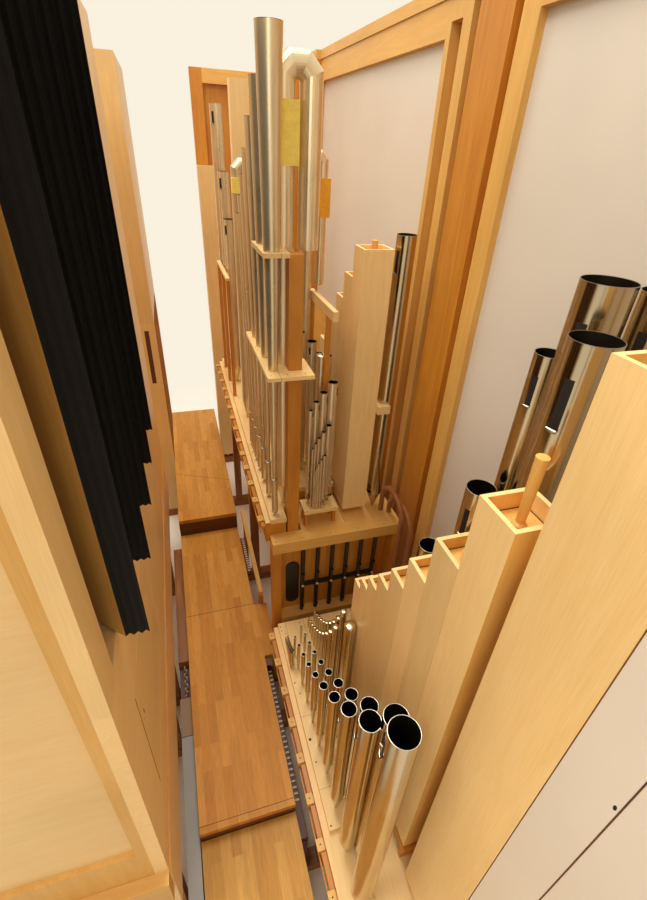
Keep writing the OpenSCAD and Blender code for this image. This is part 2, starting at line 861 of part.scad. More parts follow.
module roller_beams() {
  color(wood) {
    block(
      [side_rail_x, side_rail_y, side_rail_z],
      [side_rail_x + side_rail_w, middle_sill_y + 220, side_rail_z + 50]
    );
    block([roller_x, roller_y, beam_top - beam_h], [roller_x1, far_chest_y, beam_top]);
    block(
      [roller_x + roller_post_w, roller_y, roller_rail_z],
      [roller_x1 - roller_post_w, far_chest_y, roller_rail_z + roller_rail_h]
    );
  }
}

// The two planks behind the beam: one under the offset board, one under the wood pipes.
module rear_planks() {
  color(wood) {
    block([plank_x, far_chest_y, beam_top - plank_h], [rear_x - plank_gap, far_wide_y, beam_top]);
    block([rear_x, far_chest_y, beam_top - plank_h], [roller_x1, rear_end, beam_top]);
  }
}

// Upright rollers, linked by a black bar with pale nuts.
link_z = 1195;
link_h = 14;
arm_out = 24;
module action_rollers() {
  z0 = roller_rail_z + roller_rail_h;
  x0 = chest_x + 277;
  link_half = roller_d / 2 + 4;
  color(black) {
    for (i = [0 : roller_count - 1])
      translate([x0 + roller_pitch * i, roller_sill_y, z0]) {
        cylinder(h = beam_top - beam_h - z0, r = roller_d / 2);
        for (z = [60, 430])
          translate([0, -arm_out, z]) cylinder(h = 10, r = 14);
      }
    block(
      [x0, roller_sill_y - link_half, link_z],
      [x0 + roller_pitch * (roller_count - 1), roller_sill_y + link_half, link_z + link_h]
    );
  }
}

// A black oval panel on the left of the roller frame, on a board between beam and rail.
oval_x = chest_x + 148;
oval_w = 108;
oval_h = 456;
oval_z = 977;
module action_panel() {
  r = oval_w / 2;
  color(wood)
    block(
      [roller_x + roller_post_w, far_chest_y - panel_t, roller_rail_z + roller_rail_h],
      [roller_x1 - roller_post_w, far_chest_y, beam_top - beam_h]
    );
  color(black)
    translate([oval_x + r, far_chest_y - panel_t, oval_z + r])
      rotate([90, 0, 0])
        linear_extrude(height = 12)
          union() {
            circle(r = r);
            translate([-r, 0]) square([oval_w, oval_h - oval_w]);
            translate([0, oval_h - oval_w]) circle(r = r);
          }
}

// Far division
module far_slab(z0, z1, x0) {
  block([x0, far_chest_y, z0], [toe_x + far_strip_w, far_toe_end, z1]);
  block([toe_x + far_strip_w, far_mid_y, z0], [far_mid_x, far_toe_end, z1]);
  block([far_mid_x, far_wide_y, z0], [far_chest_x1, far_toe_end, z1]);
}

module far_chest() {
  color(brown_wood) far_slab(far_chest_z, far_toe_z - toe_t, chest_x);
}

module far_toeboard() {
  color(pale_wood) {
    far_slab(far_toe_z - toe_t, far_toe_z, toe_x);
    block([toe_x, far_toe_y, far_toe_z - toe_t], [toe_x + far_strip_w, far_chest_y, far_toe_z]);
  }
}

// A reed: a boot, a conical tube that widens upward, and no mouth.
reed_count = 7;
reed_x = 460;
reed_y = 2725;
boot_h = 330;
boot_r = 22;
reed_tip = 14;
function reed_place(i) = reed_y + row_sum(225, 0.88, i);
function reed_height(i) = (reed_top - far_toe_z) * pow(0.94, i);
function reed_size(i) = reed_d * pow(0.95, i);
function reed_r(i, z) =
  let (t = (z - far_toe_z - boot_h) / (reed_height(i) - boot_h))
  reed_tip + t * (reed_size(i) / 2 - reed_tip);

module far_reeds() {
  color(metal)
    for (i = [0 : reed_count - 1])
      translate([reed_x, reed_place(i), far_toe_z])
        difference() {
          union() {
            cylinder(h = 40, r1 = 9, r2 = boot_r);
            translate([0, 0, 40]) cylinder(h = boot_h - 40, r = boot_r);
            translate([0, 0, boot_h])
              cylinder(h = reed_height(i) - boot_h, r1 = reed_tip, r2 = reed_size(i) / 2);
          }
          translate([0, 0, boot_h + 20])
            cylinder(
              h = reed_height(i) - boot_h - 19,
              r1 = reed_tip - metal_t,
              r2 = reed_size(i) / 2 - metal_t
            );
        }
}

// Racks: boards with round cut-outs that hold the tubes upright, on a tall post.
post_x = toe_x + 130;
post_y = far_chest_y;
rack_play = 0.3;
mitre_x = 551;
mitre_y = 2850;

module rack_holes() {
  for (i = [0 : 3])
    translate([reed_x, reed_place(i), mid_rack_z - rack_t - 1])
      cylinder(h = rack_t + 2, r = reed_r(i, mid_rack_z) + rack_play);
  for (i = [0, 1])
    translate([reed_x, reed_place(i), upper_rack_z - rack_t - 1])
      cylinder(h = rack_t + 2, r = reed_r(i, upper_rack_z) + rack_play);
  translate([mitre_x, mitre_y, mid_rack_z - rack_t - 1])
    cylinder(h = upper_rack_z - mid_rack_z + rack_t + 2, r = mitre_d / 2 + rack_play);
}

// A third rack further back, and a rail along the offset pipes.
back_rack_z = 3100;
back_rack_y = far_toe_end - 1090;
back_rack_l = 823;
back_rack_w = 34;
rail_x = 832;
rail_w = 32;
rail_end = 3290;
rack_rail_z = 3320;
rail_h = 60;
upright = 30;

// The offset board beside the post, on four feet.
offset_x = 679;
offset_x1 = 944;
offset_l = 150;
offset_y = far_chest_y + 11;
offset_t = 30;

rack_x = toe_x - 14;
cleat_z = 2640;
cleat_h = 60;
module rack_boards() {
  wood_back = far_wood_x + far_wood_depth(0);
  color(pale_wood) {
    difference() {
      union() {
        block([rack_x, far_toe_y - 72, mid_rack_z - rack_t], [post_x, far_toe_y + 772, mid_rack_z]);
        block([post_x, far_toe_y - 72, mid_rack_z - rack_t], [toe_x + 273, far_toe_y + 200, mid_rack_z]);
        block([rack_x, far_toe_y - 9, upper_rack_z - rack_t], [post_x, far_toe_y + 373, upper_rack_z]);
      }
      rack_holes();
      block(
        [post_x, post_y, mid_rack_z - rack_t - 1],
        [post_x + rack_post_w, post_y + rack_post_w, mid_rack_z + 1]
      );
    }
    block(
      [toe_x, back_rack_y, back_rack_z],
      [toe_x + back_rack_w, back_rack_y + back_rack_l, back_rack_z + rack_t]
    );
    block([rail_x, offset_y + 40, rack_rail_z], [rail_x + rail_w, rail_end, rack_rail_z + rail_h]);
    block([offset_x, offset_y, far_toe_z - offset_t], [offset_x1, offset_y + offset_l, far_toe_z]);
    difference() {
      block([wood_back, far_bass[1] - 90, cleat_z], [far_bass[0], far_bass[1] + 20, cleat_z + cleat_h]);
      translate([far_bass[0], far_bass[1], cleat_z - 1])
        cylinder(h = cleat_h + 2, r = far_bass[2] / 2 + rack_play);
    }
  }
}

module rack_posts() {
  x1 = toe_x + back_rack_w;
  color(wood) {
    block([post_x, post_y, 0], [post_x + rack_post_w, post_y + rack_post_w, upper_rack_z - 13]);
    for (y = [0, 0.5, 1] * (back_rack_l - upright))
      block([toe_x, back_rack_y + y, far_toe_z], [x1, back_rack_y + y + upright, back_rack_z]);
    block([rail_x, offset_y + 162, beam_top], [rail_x + rail_w, offset_y + 162 + upright, rack_rail_z]);
    block([rail_x, rail_end - upright, far_toe_z], [rail_x + rail_w, rail_end, rack_rail_z]);
    for (x = [offset_x + 12, offset_x1 - 36], y = [offset_y + 20, offset_y + offset_l - 44])
      block([x, y, beam_top], [x + 24, y + 24, far_toe_z - offset_t]);
  }
}

// Larger pipes at the far end: place, counted from the toeboard's end, diameter and top.
far_metal = [
  [535, 1760, 97, 3869], [610, 748, 82, 4352],
  [516, 703, 105, 3580], [516, 505, 112, 3965], [516, 217, 124, 4494]
];
far_rank_count = 14;
far_rank_margin = 90;
far_rank_pitch = (far_toe_end - far_wide_y - 2 * far_rank_margin) / (far_rank_count - 1);
function far_rank_place(i) = far_wide_y + far_rank_margin + i * far_rank_pitch;

// Ranks on the offset board: place along Y, first place along X, first diameter, height, count.
offset_ranks = [[104, 878, 66, 997, 4], [52, 850, 40, 700, 5], [16, 820, 24, 480, 6]];
offset_ratio = 0.8;
offset_stopped_d = 73;

module far_principals() {
  color(metal) {
    for (r = offset_ranks, i = [0 : r[4] - 1])
      translate([r[1] - row_sum(r[2] * 0.93, offset_ratio, i), offset_y + r[0], far_toe_z])
        metal_pipe(r[2] * pow(offset_ratio, i), r[3] * pow(0.93, i), 60, -90);
    translate([834, offset_y + 245, beam_top]) capped_pipe(offset_stopped_d, 1300, 160);
    for (p = far_metal)
      translate([p[0], far_toe_end - p[1], far_toe_z])
        metal_pipe(p[2], p[3] - far_toe_z, 180, 180);
    for (k = [0 : 2], i = [0 : far_rank_count - 1])
      translate([720 + 100 * k, far_rank_place(i) + 50 * odd(k), far_toe_z])
        metal_pipe(70 - 2 * i, (1250 - 90 * k) * pow(0.94, i), 140, 180);
  }
}

// A tube through rings, as one closed mesh. Each ring is [centre, across, side, radius].
function ring_points(ring, sides) = [
  for (k = [0 : sides - 1])
    let (a = 360 * k / sides)
    ring[0] + ring[3] * (cos(a) * ring[1] + sin(a) * ring[2])
];

module tube(rings, sides) {
  n = len(rings);
  points = [for (r = rings) each ring_points(r, sides)];
  walls = [
    for (i = [0 : n - 2], k = [0 : sides - 1])
      let (a = i * sides + k, b = i * sides + (k + 1) % sides)
      [a, b, b + sides, a + sides]
  ];
  first_cap = [for (k = [sides - 1 : -1 : 0]) k];
  last_cap = [for (k = [0 : sides - 1]) (n - 1) * sides + k];
  polyhedron(points = points, faces = concat([first_cap], walls, [last_cap]));
}

// The ring of a tube in the plane of X and Z that runs in direction a, mitred by half of turn.
function mitre_ring(x, z, a, turn, r) =
  [[x, 0, z], [-sin(a), 0, cos(a)] / cos(turn / 2), [0, 1, 0], r];

// A pipe whose top is mitred four times, so that it turns back down to an open end.
mitre_sides = 32;
mitre_turn = 45;
open_depth = 150;
module mitred_pipe(d, span, z_bend, z_open) {
  r = d / 2;
  c = span * 0.285;
  tube([
    mitre_ring(0, far_toe_z, 90, 0, 10),
    mitre_ring(0, far_toe_z + 200, 90, 0, r),
    mitre_ring(0, z_bend, 67.5, mitre_turn, r),
    mitre_ring(c, z_bend + c, 22.5, mitre_turn, r),
    mitre_ring(span - c, z_bend + c, -22.5, mitre_turn, r),
    mitre_ring(span, z_bend, -67.5, mitre_turn, r),
    mitre_ring(span, z_open, -90, 0, r),
    mitre_ring(span, z_open, -90, 0, r - metal_t),
    mitre_ring(span, z_open + open_depth, -90, 0, r - metal_t)
  ], mitre_sides);
}

// Each: place, diameter, span between the legs, height of the bend, height of the open end,
// then the leg that a pad hugs, the pad's foot and the pad's height.
mitred = [
  [mitre_x, mitre_y, mitre_d, 140, mitre_z, 3710, 0, 4113, 270],
  [795, 3240, 66, 86, 4130, 3420, 1, 3830, 212],
  [498, reed_y + 1530, 89, 110, 4030, 3300, 0, 3870, 105]
];
module mitred_pipes() {
  color(metal)
    for (p = mitred)
      translate([p[0], p[1], 0]) mitred_pipe(p[2], p[3], p[4], p[5]);
}

// A yellow pad hugs the near half of a leg and reaches into the space beside it.
pad_t = 5;
module pipe_pads() {
  color("Gold")
    for (p = mitred)
      translate([p[0] + p[6] * p[3], p[1], p[7]])
        difference() {
          block([-p[2] / 2, -p[2] / 2 - pad_t, 0], [p[2] / 2 + 10, 0, p[8]]);
          translate([0, 0, -1]) cylinder(h = p[8] + 2, r = p[2] / 2 + rack_play);
        }
}

// The far row of wood pipes on the rear plank, numbered from the tallest.
far_wood_count = 6;
far_wood_x = 1015;
far_wood_y = 2787;
far_wood_ratio = 0.9;
function far_wood_width(i) = far_wood_w * pow(far_wood_ratio, i);
function far_wood_start(i) = far_wood_y + row_sum(far_wood_w, far_wood_ratio, i);
function far_wood_depth(i) = 188 * pow(0.94, i);
function far_wood_height(i) = far_wood_h * pow(0.905, i);

// Both rows and the large wood pipe at the near end.
module wood_pipes() {
  color(pale_wood) {
    for (i = [0 : wood_count - 1])
      translate([wood_x, wood_start(i), bench_z])
        wood_pipe(wood_width(i) - wood_play, wood_depth(i), wood_height(i));
    for (i = [0 : far_wood_count - 1])
      translate([far_wood_x, far_wood_start(i), beam_top])
        wood_pipe(far_wood_width(i) - wood_play, far_wood_depth(i), far_wood_height(i));
    translate([wood_x, wood_y - 70 - bass_w, near_toe_z - toe_t])
      wood_pipe(bass_w, bass_d, bass_h, 60);
    translate([509, far_toe_end - 1320, far_toe_z]) wood_pipe(110, 141, 2700);
    translate([346, end_bearing_y - 45, sill_h]) wood_pipe(110, 195, 3867);
  }
}

module pipe_stoppers() {
  color(wood) {
    for (i = [0 : wood_count - 1])
      translate([wood_x, wood_start(i), bench_z + wood_height(i)])
        stopper(wood_width(i) - wood_play, wood_depth(i), i == 0 ? 240 : wood_width(i) * 0.25);
    for (i = [0 : far_wood_count - 1])
      translate([far_wood_x, far_wood_start(i), beam_top + far_wood_height(i)])
        stopper(
          far_wood_width(i) - wood_play, far_wood_depth(i), i == 0 ? 97 : far_wood_width(i) * 0.25
        );
  }
}

// Metal bass pipes behind the wood pipes of both divisions.
far_bass = [1294, 2840, 120, 2047];
module bass_pipes() {
  color(metal) {
    for (p = near_bass)
      translate([bass_chest_x + p[0], near_chest_y + p[1], near_toe_z])
        metal_pipe(bass_pipe_d * p[2], p[3], 200, 180);
    translate([far_bass[0], far_bass[1], beam_top]) metal_pipe(far_bass[2], far_bass[3], 152, 180);
  }
}

// A wind hose in the plane of Y and Z: it rises from the rear plank, arches over the beam
// and drops to the near bass board.
hose_sides = 10;
hose_steps = 12;
hose_x = 1340;
hose_pitch = 52;
function hose_ring(x, y, z, a) = [[x, y, z], [0, sin(a), cos(a)], [1, 0, 0], hose_r];
function hose_rings(x, y0, y1, z_arch, rise) = concat(
  [hose_ring(x, y0, beam_top, 90)],
  [
    for (i = [0 : hose_steps])
      let (a = 180 * i / hose_steps)
      hose_ring(x, (y0 + y1) / 2 + (y0 - y1) / 2 * cos(a), z_arch + rise * sin(a), 90 - a)
  ],
  [hose_ring(x, y1, near_toe_z, -90)]
);

module wind_hoses() {
  color("RosyBrown") {
    tube(hose_rings(hose_x, roller_y + 200, near_chest_end - 40, beam_top + 150, 150), hose_sides);
    tube(
      hose_rings(hose_x + hose_pitch, roller_y + 160, near_chest_end - 110, beam_top + 60, 160),
      hose_sides
    );
  }
}

base_sills();
base_legs();
base_bearers();
walkboards();
walk_risers();
side_landing();
side_trunks();
far_trunk();
far_trunk_board();
case_posts();
case_stiles();
case_crossrails();
case_cornice();
white_panels();
portal_posts();
portal_rails();
end_panel();
swell_front_wall();
swell_front_stiles();
swell_front_header();
swell_pivot_boards();
swell_access_door();
swell_near_wall();
swell_back_wall();
swell_far_wall();
swell_inner_boards();
shutter(0);  // swell_shutter_1
shutter(1);  // swell_shutter_2
shutter(2);  // swell_shutter_3
shutter(3);  // swell_shutter_4
shutter(4);  // swell_shutter_5
near_chest();
near_toeboard();
far_chest();
far_toeboard();
chest_clamps();
near_principals();
near_small_pipes();
near_wood_bench();
wood_pipes();
pipe_stoppers();
bass_pipes();
roller_posts();
roller_beams();
action_panel();
action_rollers();
rear_planks();
far_reeds();
far_principals();
mitred_pipes();
pipe_pads();
rack_boards();
rack_posts();
wind_hoses();
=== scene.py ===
"""Looks of the pipe organ: materials, light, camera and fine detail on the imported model."""

import math
import random

import bmesh
import bpy
from mathutils import Matrix, Vector

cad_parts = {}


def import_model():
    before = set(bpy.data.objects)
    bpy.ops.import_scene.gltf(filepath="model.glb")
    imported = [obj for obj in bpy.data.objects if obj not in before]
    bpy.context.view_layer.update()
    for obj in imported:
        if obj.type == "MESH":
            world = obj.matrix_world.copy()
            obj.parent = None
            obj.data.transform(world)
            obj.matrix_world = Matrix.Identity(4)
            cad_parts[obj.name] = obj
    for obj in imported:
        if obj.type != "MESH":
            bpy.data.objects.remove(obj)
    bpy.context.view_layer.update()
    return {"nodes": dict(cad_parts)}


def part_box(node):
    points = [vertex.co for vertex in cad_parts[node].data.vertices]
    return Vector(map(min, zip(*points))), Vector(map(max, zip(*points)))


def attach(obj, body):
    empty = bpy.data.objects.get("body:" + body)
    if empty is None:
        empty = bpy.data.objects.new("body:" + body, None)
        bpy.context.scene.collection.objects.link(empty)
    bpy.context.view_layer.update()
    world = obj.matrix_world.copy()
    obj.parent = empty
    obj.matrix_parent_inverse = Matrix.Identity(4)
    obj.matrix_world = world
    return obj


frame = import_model()
nodes = frame["nodes"]
MM = 0.001
UP = (0, 0, 1)


# ---------------------------------------------------------------- node trees
def srgb(r, g, b):
    def lin(c):
        c /= 255
        return c / 12.92 if c <= 0.04045 else ((c + 0.055) / 1.055) ** 2.4

    return (lin(r), lin(g), lin(b), 1)


def grey(v):
    return (v, v, v, 1)


class Tree:
    """A node tree and a short way to add nodes to it."""

    def __init__(self, tree):
        self.tree = tree

    def put(self, socket, value):
        """Links a socket to the input, or writes a plain value on it."""
        if isinstance(value, bpy.types.NodeSocket):
            self.tree.links.new(value, socket)
        else:
            socket.default_value = value

    def add(self, kind, props=None, **inputs):
        """Adds a node; its inputs go by name, or by number as i0, i1 and so on."""
        node = self.tree.nodes.new("ShaderNode" + kind)
        for key, value in (props or {}).items():
            setattr(node, key, value)
        for key, value in inputs.items():
            self.put(node.inputs[int(key[1:]) if key[1:].isdigit() else key], value)
        return node

    def math(self, op, a, b=0.0, c=0.0):
        return self.add("Math", {"operation": op}, i0=a, i1=b, i2=c).outputs[0]

    def largest(self, first, *others):
        for other in others:
            first = self.math("MAXIMUM", first, other)
        return first

    def show(self, fac, a, b):
        """Sends a mix of two shaders to the output."""
        mixed = self.add("MixShader", i0=fac, i1=a.outputs[0], i2=b.outputs[0])
        output = next(n for n in self.tree.nodes if n.bl_idname.startswith("ShaderNodeOutput"))
        self.put(output.inputs["Surface"], mixed.outputs[0])


class Graph(Tree):
    """The tree of a new material."""

    def __init__(self, name, rough=0.5, metal=0.0):
        self.mat = bpy.data.materials.new(name)
        self.mat.use_nodes = True
        super().__init__(self.mat.node_tree)
        self.bsdf = self.tree.nodes["Principled BSDF"]
        self.set("Roughness", rough)
        self.set("Metallic", metal)

    def set(self, name, value):
        self.put(self.bsdf.inputs[name], value)

    def coords(self, scale=(1, 1, 1), at=(0, 0, 0)):
        tex = self.add("TexCoord")
        return self.add("Mapping", Vector=tex.outputs["Object"], Scale=scale, Location=at).outputs[0]

    def noise(self, vector, scale, detail=3.0, distortion=0.0, rough=0.5):
        return self.add(
            "TexNoise", Vector=vector, Scale=scale, Detail=detail, Roughness=rough, Distortion=distortion
        ).outputs["Fac"]

    def tone(self):
        """The number that solid_tones gave to the solid."""
        return self.add("Attribute", {"attribute_name": "tone"}).outputs["Fac"]

    def ramp(self, fac, stops):
        node = self.add("ValToRGB", Fac=fac)
        elements = node.color_ramp.elements
        while len(elements) < len(stops):
            elements.new(0.5)
        for element, (position, color) in zip(elements, stops):
            element.position = position
            element.color = color
        return node.outputs["Color"]

    def mix(self, fac, a, b, kind="MIX"):
        return self.add("Mix", {"data_type": "RGBA", "blend_type": kind}, i0=fac, i6=a, i7=b).outputs[2]

    def shade(self, col, fac, dark, light, span=(0.3, 0.7), amount=1.0):
        """Multiplies a colour by a grey that runs from dark to light over a span of fac."""
        greys = self.ramp(fac, [(span[0], grey(dark)), (span[1], grey(light))])
        return self.mix(amount, col, greys, "MULTIPLY")

    def gloss(self, fac, spread, low):
        """Lets the roughness run from low to low + spread along fac."""
        self.set("Roughness", self.math("MULTIPLY_ADD", fac, spread, low))

    def bump(self, height, strength, distance):
        node = self.add("Bump", Height=height, Strength=strength, Distance=distance)
        self.set("Normal", node.outputs[0])


# ---------------------------------------------------------------- materials
WOOD_ROUGH = 0.44
# The light and the dark colour of each wood, and the strength of its figure.
WOOD_KINDS = {
    "pale": (srgb(246, 212, 148), srgb(236, 192, 122), 0.45),
    "maple": (srgb(236, 186, 102), srgb(216, 158, 72), 0.55),
    "orange": (srgb(216, 146, 48), srgb(190, 116, 28), 0.8),
    "brown": (srgb(168, 106, 44), srgb(128, 72, 24), 1.0),
    "dark": (srgb(112, 54, 18), srgb(74, 32, 10), 1.0),
}


def wood(name, grain, light, dark, figure, at):
    """Sawn and oiled wood with its grain along one axis; each solid has its own tone."""
    g = Graph(name, WOOD_ROUGH)
    along = "xyz".index(grain)
    broad, fine = [9.0] * 3, [300.0] * 3
    broad[along], fine[along] = 0.8, 7.0
    bands = g.noise(g.coords(broad, at), 1.7, 4, 1.1, 0.6)
    fibres = g.noise(g.coords(fine, at), 1.0, 2, 0.2, 0.6)
    clouds = g.noise(g.coords(at=at), 1.3, 2)
    spread = 0.2 / figure
    col = g.ramp(bands, [(0.5 - spread, dark), (0.5 + spread, light)])
    col = g.shade(col, fibres, 1.0 - 0.16 * figure, 1.03, (0.32, 0.62), 0.75)
    col = g.shade(col, clouds, 0.90, 1.06, (0.35, 0.65), 0.6)
    g.set("Base Color", g.shade(col, g.tone(), 0.90, 1.05, (0.0, 1.0)))
    g.gloss(fibres, 0.16, WOOD_ROUGH - 0.08)
    g.bump(fibres, 0.12, 0.0004)
    return g.mat


woods = {}


def timber(kind, grain):
    """The material of one wood and grain, made once and moved along from the ones before it."""
    if (kind, grain) not in woods:
        light, dark, figure = WOOD_KINDS[kind]
        at = (len(woods) * 3.7, 1.3, 0.4)
        woods[kind, grain] = wood(f"wood_{kind}_{grain}", grain, light, dark, figure, at)
    return woods[kind, grain]


# The walkway's parquet, in metres.
STRIP_LENGTH, STRIP_WIDTH = 0.46, 0.0625
CROSS_JOINT = 2.94  # y of the joint across the middle board; the strips before it are paler
SLANT_JOINT, SLANT = 4.72, 0.42  # y at the far board's middle, and the rise per metre across
NOSING_JOINT = 1.374  # y of the line behind the middle board's front edge
LOW_BOARD = 0.65  # only the near board lies below this height


def parquet():
    """Varnished oak strips along the walkway, with joints across and a paler near part."""
    g = Graph("oak_parquet", 0.3)
    x, y, z = g.add("SeparateXYZ", Vector=g.coords()).outputs
    strips = g.add(
        "TexBrick",
        {"offset": 0.37, "offset_frequency": 2, "squash": 1.0},
        Vector=g.add("CombineXYZ", X=y, Y=x).outputs[0],
        Color1=grey(0.0), Color2=grey(1.0), Mortar=grey(0.5), Scale=1.0, Bias=0.0,
        **{"Mortar Size": 0.0004, "Mortar Smooth": 0.3},
        **{"Brick Width": STRIP_LENGTH, "Row Height": STRIP_WIDTH},
    )
    stops = [(0.0, srgb(192, 128, 46)), (0.5, srgb(202, 138, 54)), (1.0, srgb(214, 152, 66))]
    figure = g.noise(g.coords((14, 1.3, 14)), 2.2, 4, 1.2, 0.6)
    pores = g.noise(g.coords((330, 11, 330)), 1.0, 2)
    col = g.shade(g.ramp(strips.outputs["Color"], stops), figure, 0.84, 1.08, amount=0.8)
    col = g.shade(col, pores, 0.82, 1.03, (0.35, 0.6), 0.8)
    # The low near board gets a painted sheen: a tint that makes it paler and cooler, standing in for the
    # lamps' reflection on its varnish.
    paler, painted_sheen = (1.04, 1.05, 1.08, 1), (0.94, 1.06, 1.3, 1)
    for value, limit, tint in ((y, CROSS_JOINT, paler), (z, LOW_BOARD, painted_sheen)):
        col = g.mix(g.math("LESS_THAN", value, limit), col, g.mix(1.0, col, tint, "MULTIPLY"))

    def joint(value, at, half_width):
        return g.math("LESS_THAN", g.math("ABSOLUTE", g.math("SUBTRACT", value, at)), half_width)

    marks = g.largest(
        joint(y, CROSS_JOINT, 0.0022),
        joint(y, NOSING_JOINT, 0.0018),
        joint(g.math("ADD", g.math("MULTIPLY", x, SLANT), y), SLANT_JOINT, 0.0025),
        g.math("MULTIPLY", strips.outputs["Fac"], 0.3),
    )
    g.set("Base Color", g.mix(marks, col, srgb(92, 50, 20)))
    g.gloss(figure, 0.14, 0.40)
    g.set("Specular IOR Level", 0.2)
    g.bump(g.math("SUBTRACT", g.math("MULTIPLY", pores, 0.3), marks), 0.25, 0.0006)
    return g.mat


def painted(name, col, rough=0.5, grain=900.0, amount=0.05, spec=0.5):
    """Paint or lacquer, a little uneven in colour and gloss."""
    g = Graph(name, rough)
    patches = g.noise(g.coords(), 2.3, 3)
    g.set("Base Color", g.shade(col, patches, 1 - amount, 1.0))
    g.gloss(patches, 0.12, rough - 0.06)
    g.bump(g.noise(g.coords(), grain, 2), 0.08, 0.0004)
    g.set("Specular IOR Level", spec)
    return g.mat


def tin(name, col, rough, dull=0.0, metal=1.0):
    """Planed and polished pipe metal, with faint lengthwise drawing marks and hazy patches."""
    g = Graph(name, rough, metal)
    streaks = g.noise(g.coords((160, 160, 1.6)), 1.0, 3, 0.2)
    haze = g.noise(g.coords((5, 5, 2.2)), 1.6, 3, 0.6)
    col = g.shade(col, haze, 0.86 - dull, 1.0)
    g.set("Base Color", g.shade(col, g.tone(), 0.86, 1.0, (0.0, 1.0)))
    g.gloss(haze, 0.16, rough - 0.07)
    g.bump(streaks, 0.06, 0.0006)
    return g.mat


def felt(name, col, fuzz):
    g = Graph(name, 0.95)
    hairs = g.noise(g.coords(), 700.0, 3, 0.5)
    clouds = g.noise(g.coords(), 30.0, 2)
    col = g.shade(col, hairs, 0.62, 1.25, (0.25, 0.75))
    g.set("Base Color", g.shade(col, clouds, 0.88, 1.08, amount=0.7))
    g.bump(hairs, 0.5, 0.0008)
    g.set("Sheen Weight", fuzz)
    g.set("Specular IOR Level", 0.2)
    return g.mat


def ribbed(name, col):
    """The cover of the wind hoses; the ribs themselves are a piece."""
    g = Graph(name, 0.6)
    clouds = g.noise(g.coords(), 60.0, 2)
    g.set("Base Color", g.shade(col, clouds, 0.8, 1.05))
    g.bump(clouds, 0.15, 0.0006)
    return g.mat


M_PARQUET = parquet()
M_WHITE = painted("white_lacquer", srgb(224, 212, 194), 0.32, 500.0, 0.04)
M_TIN = tin("pipe_tin", srgb(208, 192, 160), 0.17)
M_DULL = tin("pipe_tin_dull", srgb(240, 220, 180), 0.29, metal=0.74)
M_LEAD = tin("pipe_inside", srgb(58, 52, 42), 0.55, dull=0.1)
M_RIM = tin("pipe_rim", srgb(188, 180, 164), 0.3)
M_FELT = felt("black_felt", srgb(22, 20, 18), 0.08)
M_LEAF = painted("shutter_face", srgb(34, 31, 27), 0.42, 400.0, 0.12, 0.3)
M_BLACK = painted("satin_black", srgb(28, 27, 27), 0.38, 600.0, 0.1)
# Holes, keyholes and tuning slots wear this dark colour as painted shade where an opening shows; the studs
# along the far trunk wear it as their own dark colour.
M_HOLE = painted("dark_hole", srgb(26, 18, 12), 0.8)
M_SCREW = tin("screw_steel", srgb(96, 76, 52), 0.4)
M_HOSE = ribbed("hose_cover", srgb(160, 98, 44))
M_YELLOW = felt("yellow_felt", srgb(255, 226, 112), 0.2)
M_AMBER = felt("amber_felt", srgb(240, 172, 52), 0.2)
M_NUT = painted("pale_nut", srgb(226, 204, 164))
M_GREYBAR = painted("grey_channel", srgb(150, 146, 138), 0.4, 500.0, 0.1)
M_DUN = painted("dun_trunk", srgb(150, 116, 82), 0.5, 500.0, 0.1)
M_TEETH = painted("pale_teeth", srgb(222, 208, 178), 0.5, 500.0, 0.1)


# ---------------------------------------------------------------- CAD nodes, in metres
def solid_tones(obj, seed):
    """Gives every separate solid of a CAD node its own number, 0 to 1, in the attribute tone."""
    mesh = obj.data
    rnd = random.Random(seed)
    parent = list(range(len(mesh.vertices)))

    def find(a):
        while parent[a] != a:
            parent[a] = parent[parent[a]]
            a = parent[a]
        return a

    first_at = {}
    for v in mesh.vertices:
        parent[v.index] = first_at.setdefault(tuple(round(c, 5) for c in v.co), v.index)
    for edge in mesh.edges:
        a, b = (find(v) for v in edge.vertices)
        if a != b:
            parent[a] = b
    tones = {}
    values = mesh.attributes.new("tone", "FLOAT", "POINT").data
    for v in mesh.vertices:
        root = find(v.index)
        if root not in tones:
            tones[root] = rnd.random()
        values[v.index].value = tones[root]


def dress(name, *mats, pick=None):
    """Gives a CAD node its materials; pick(polygon) says which of them a face has."""
    obj = nodes[name]
    obj.data.materials.clear()
    for m in mats:
        obj.data.materials.append(m)
    for p in obj.data.polygons:
        p.material_index = pick(p) if pick else 0
    solid_tones(obj, name)


for name, kind, grain in [
    ("base_sills", "brown", "x"), ("base_legs", "brown", "z"), ("base_bearers", "brown", "y"),
    ("walk_risers", "dark", "x"), ("case_posts", "orange", "z"), ("case_stiles", "maple", "z"),
    ("case_crossrails", "maple", "y"), ("case_cornice", "maple", "y"), ("portal_rails", "maple", "x"),
    ("end_panel", "orange", "z"), ("swell_front_stiles", "pale", "z"),
    ("swell_front_header", "pale", "y"), ("swell_pivot_boards", "pale", "y"),
    ("swell_access_door", "pale", "y"), ("swell_back_wall", "maple", "z"),
    ("swell_far_wall", "maple", "z"), ("near_toeboard", "pale", "y"), ("far_toeboard", "pale", "y"),
    ("chest_clamps", "maple", "z"), ("near_wood_bench", "orange", "y"), ("pipe_stoppers", "maple", "z"),
    ("roller_posts", "orange", "z"), ("roller_beams", "maple", "x"), ("rear_planks", "maple", "y"),
    ("rack_boards", "pale", "y"), ("rack_posts", "orange", "z"),
]:
    dress(name, timber(kind, grain))

LEDGE_DEPTH, PANEL_SUNK = 0.06, 0.024
near_wall_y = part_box("swell_near_wall")[0][1] + LEDGE_DEPTH
trunk_board_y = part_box("far_trunk_board")[0][1]
GREY_CHANNEL_END, DUN_TRUNK_END = 1.987, 2.3
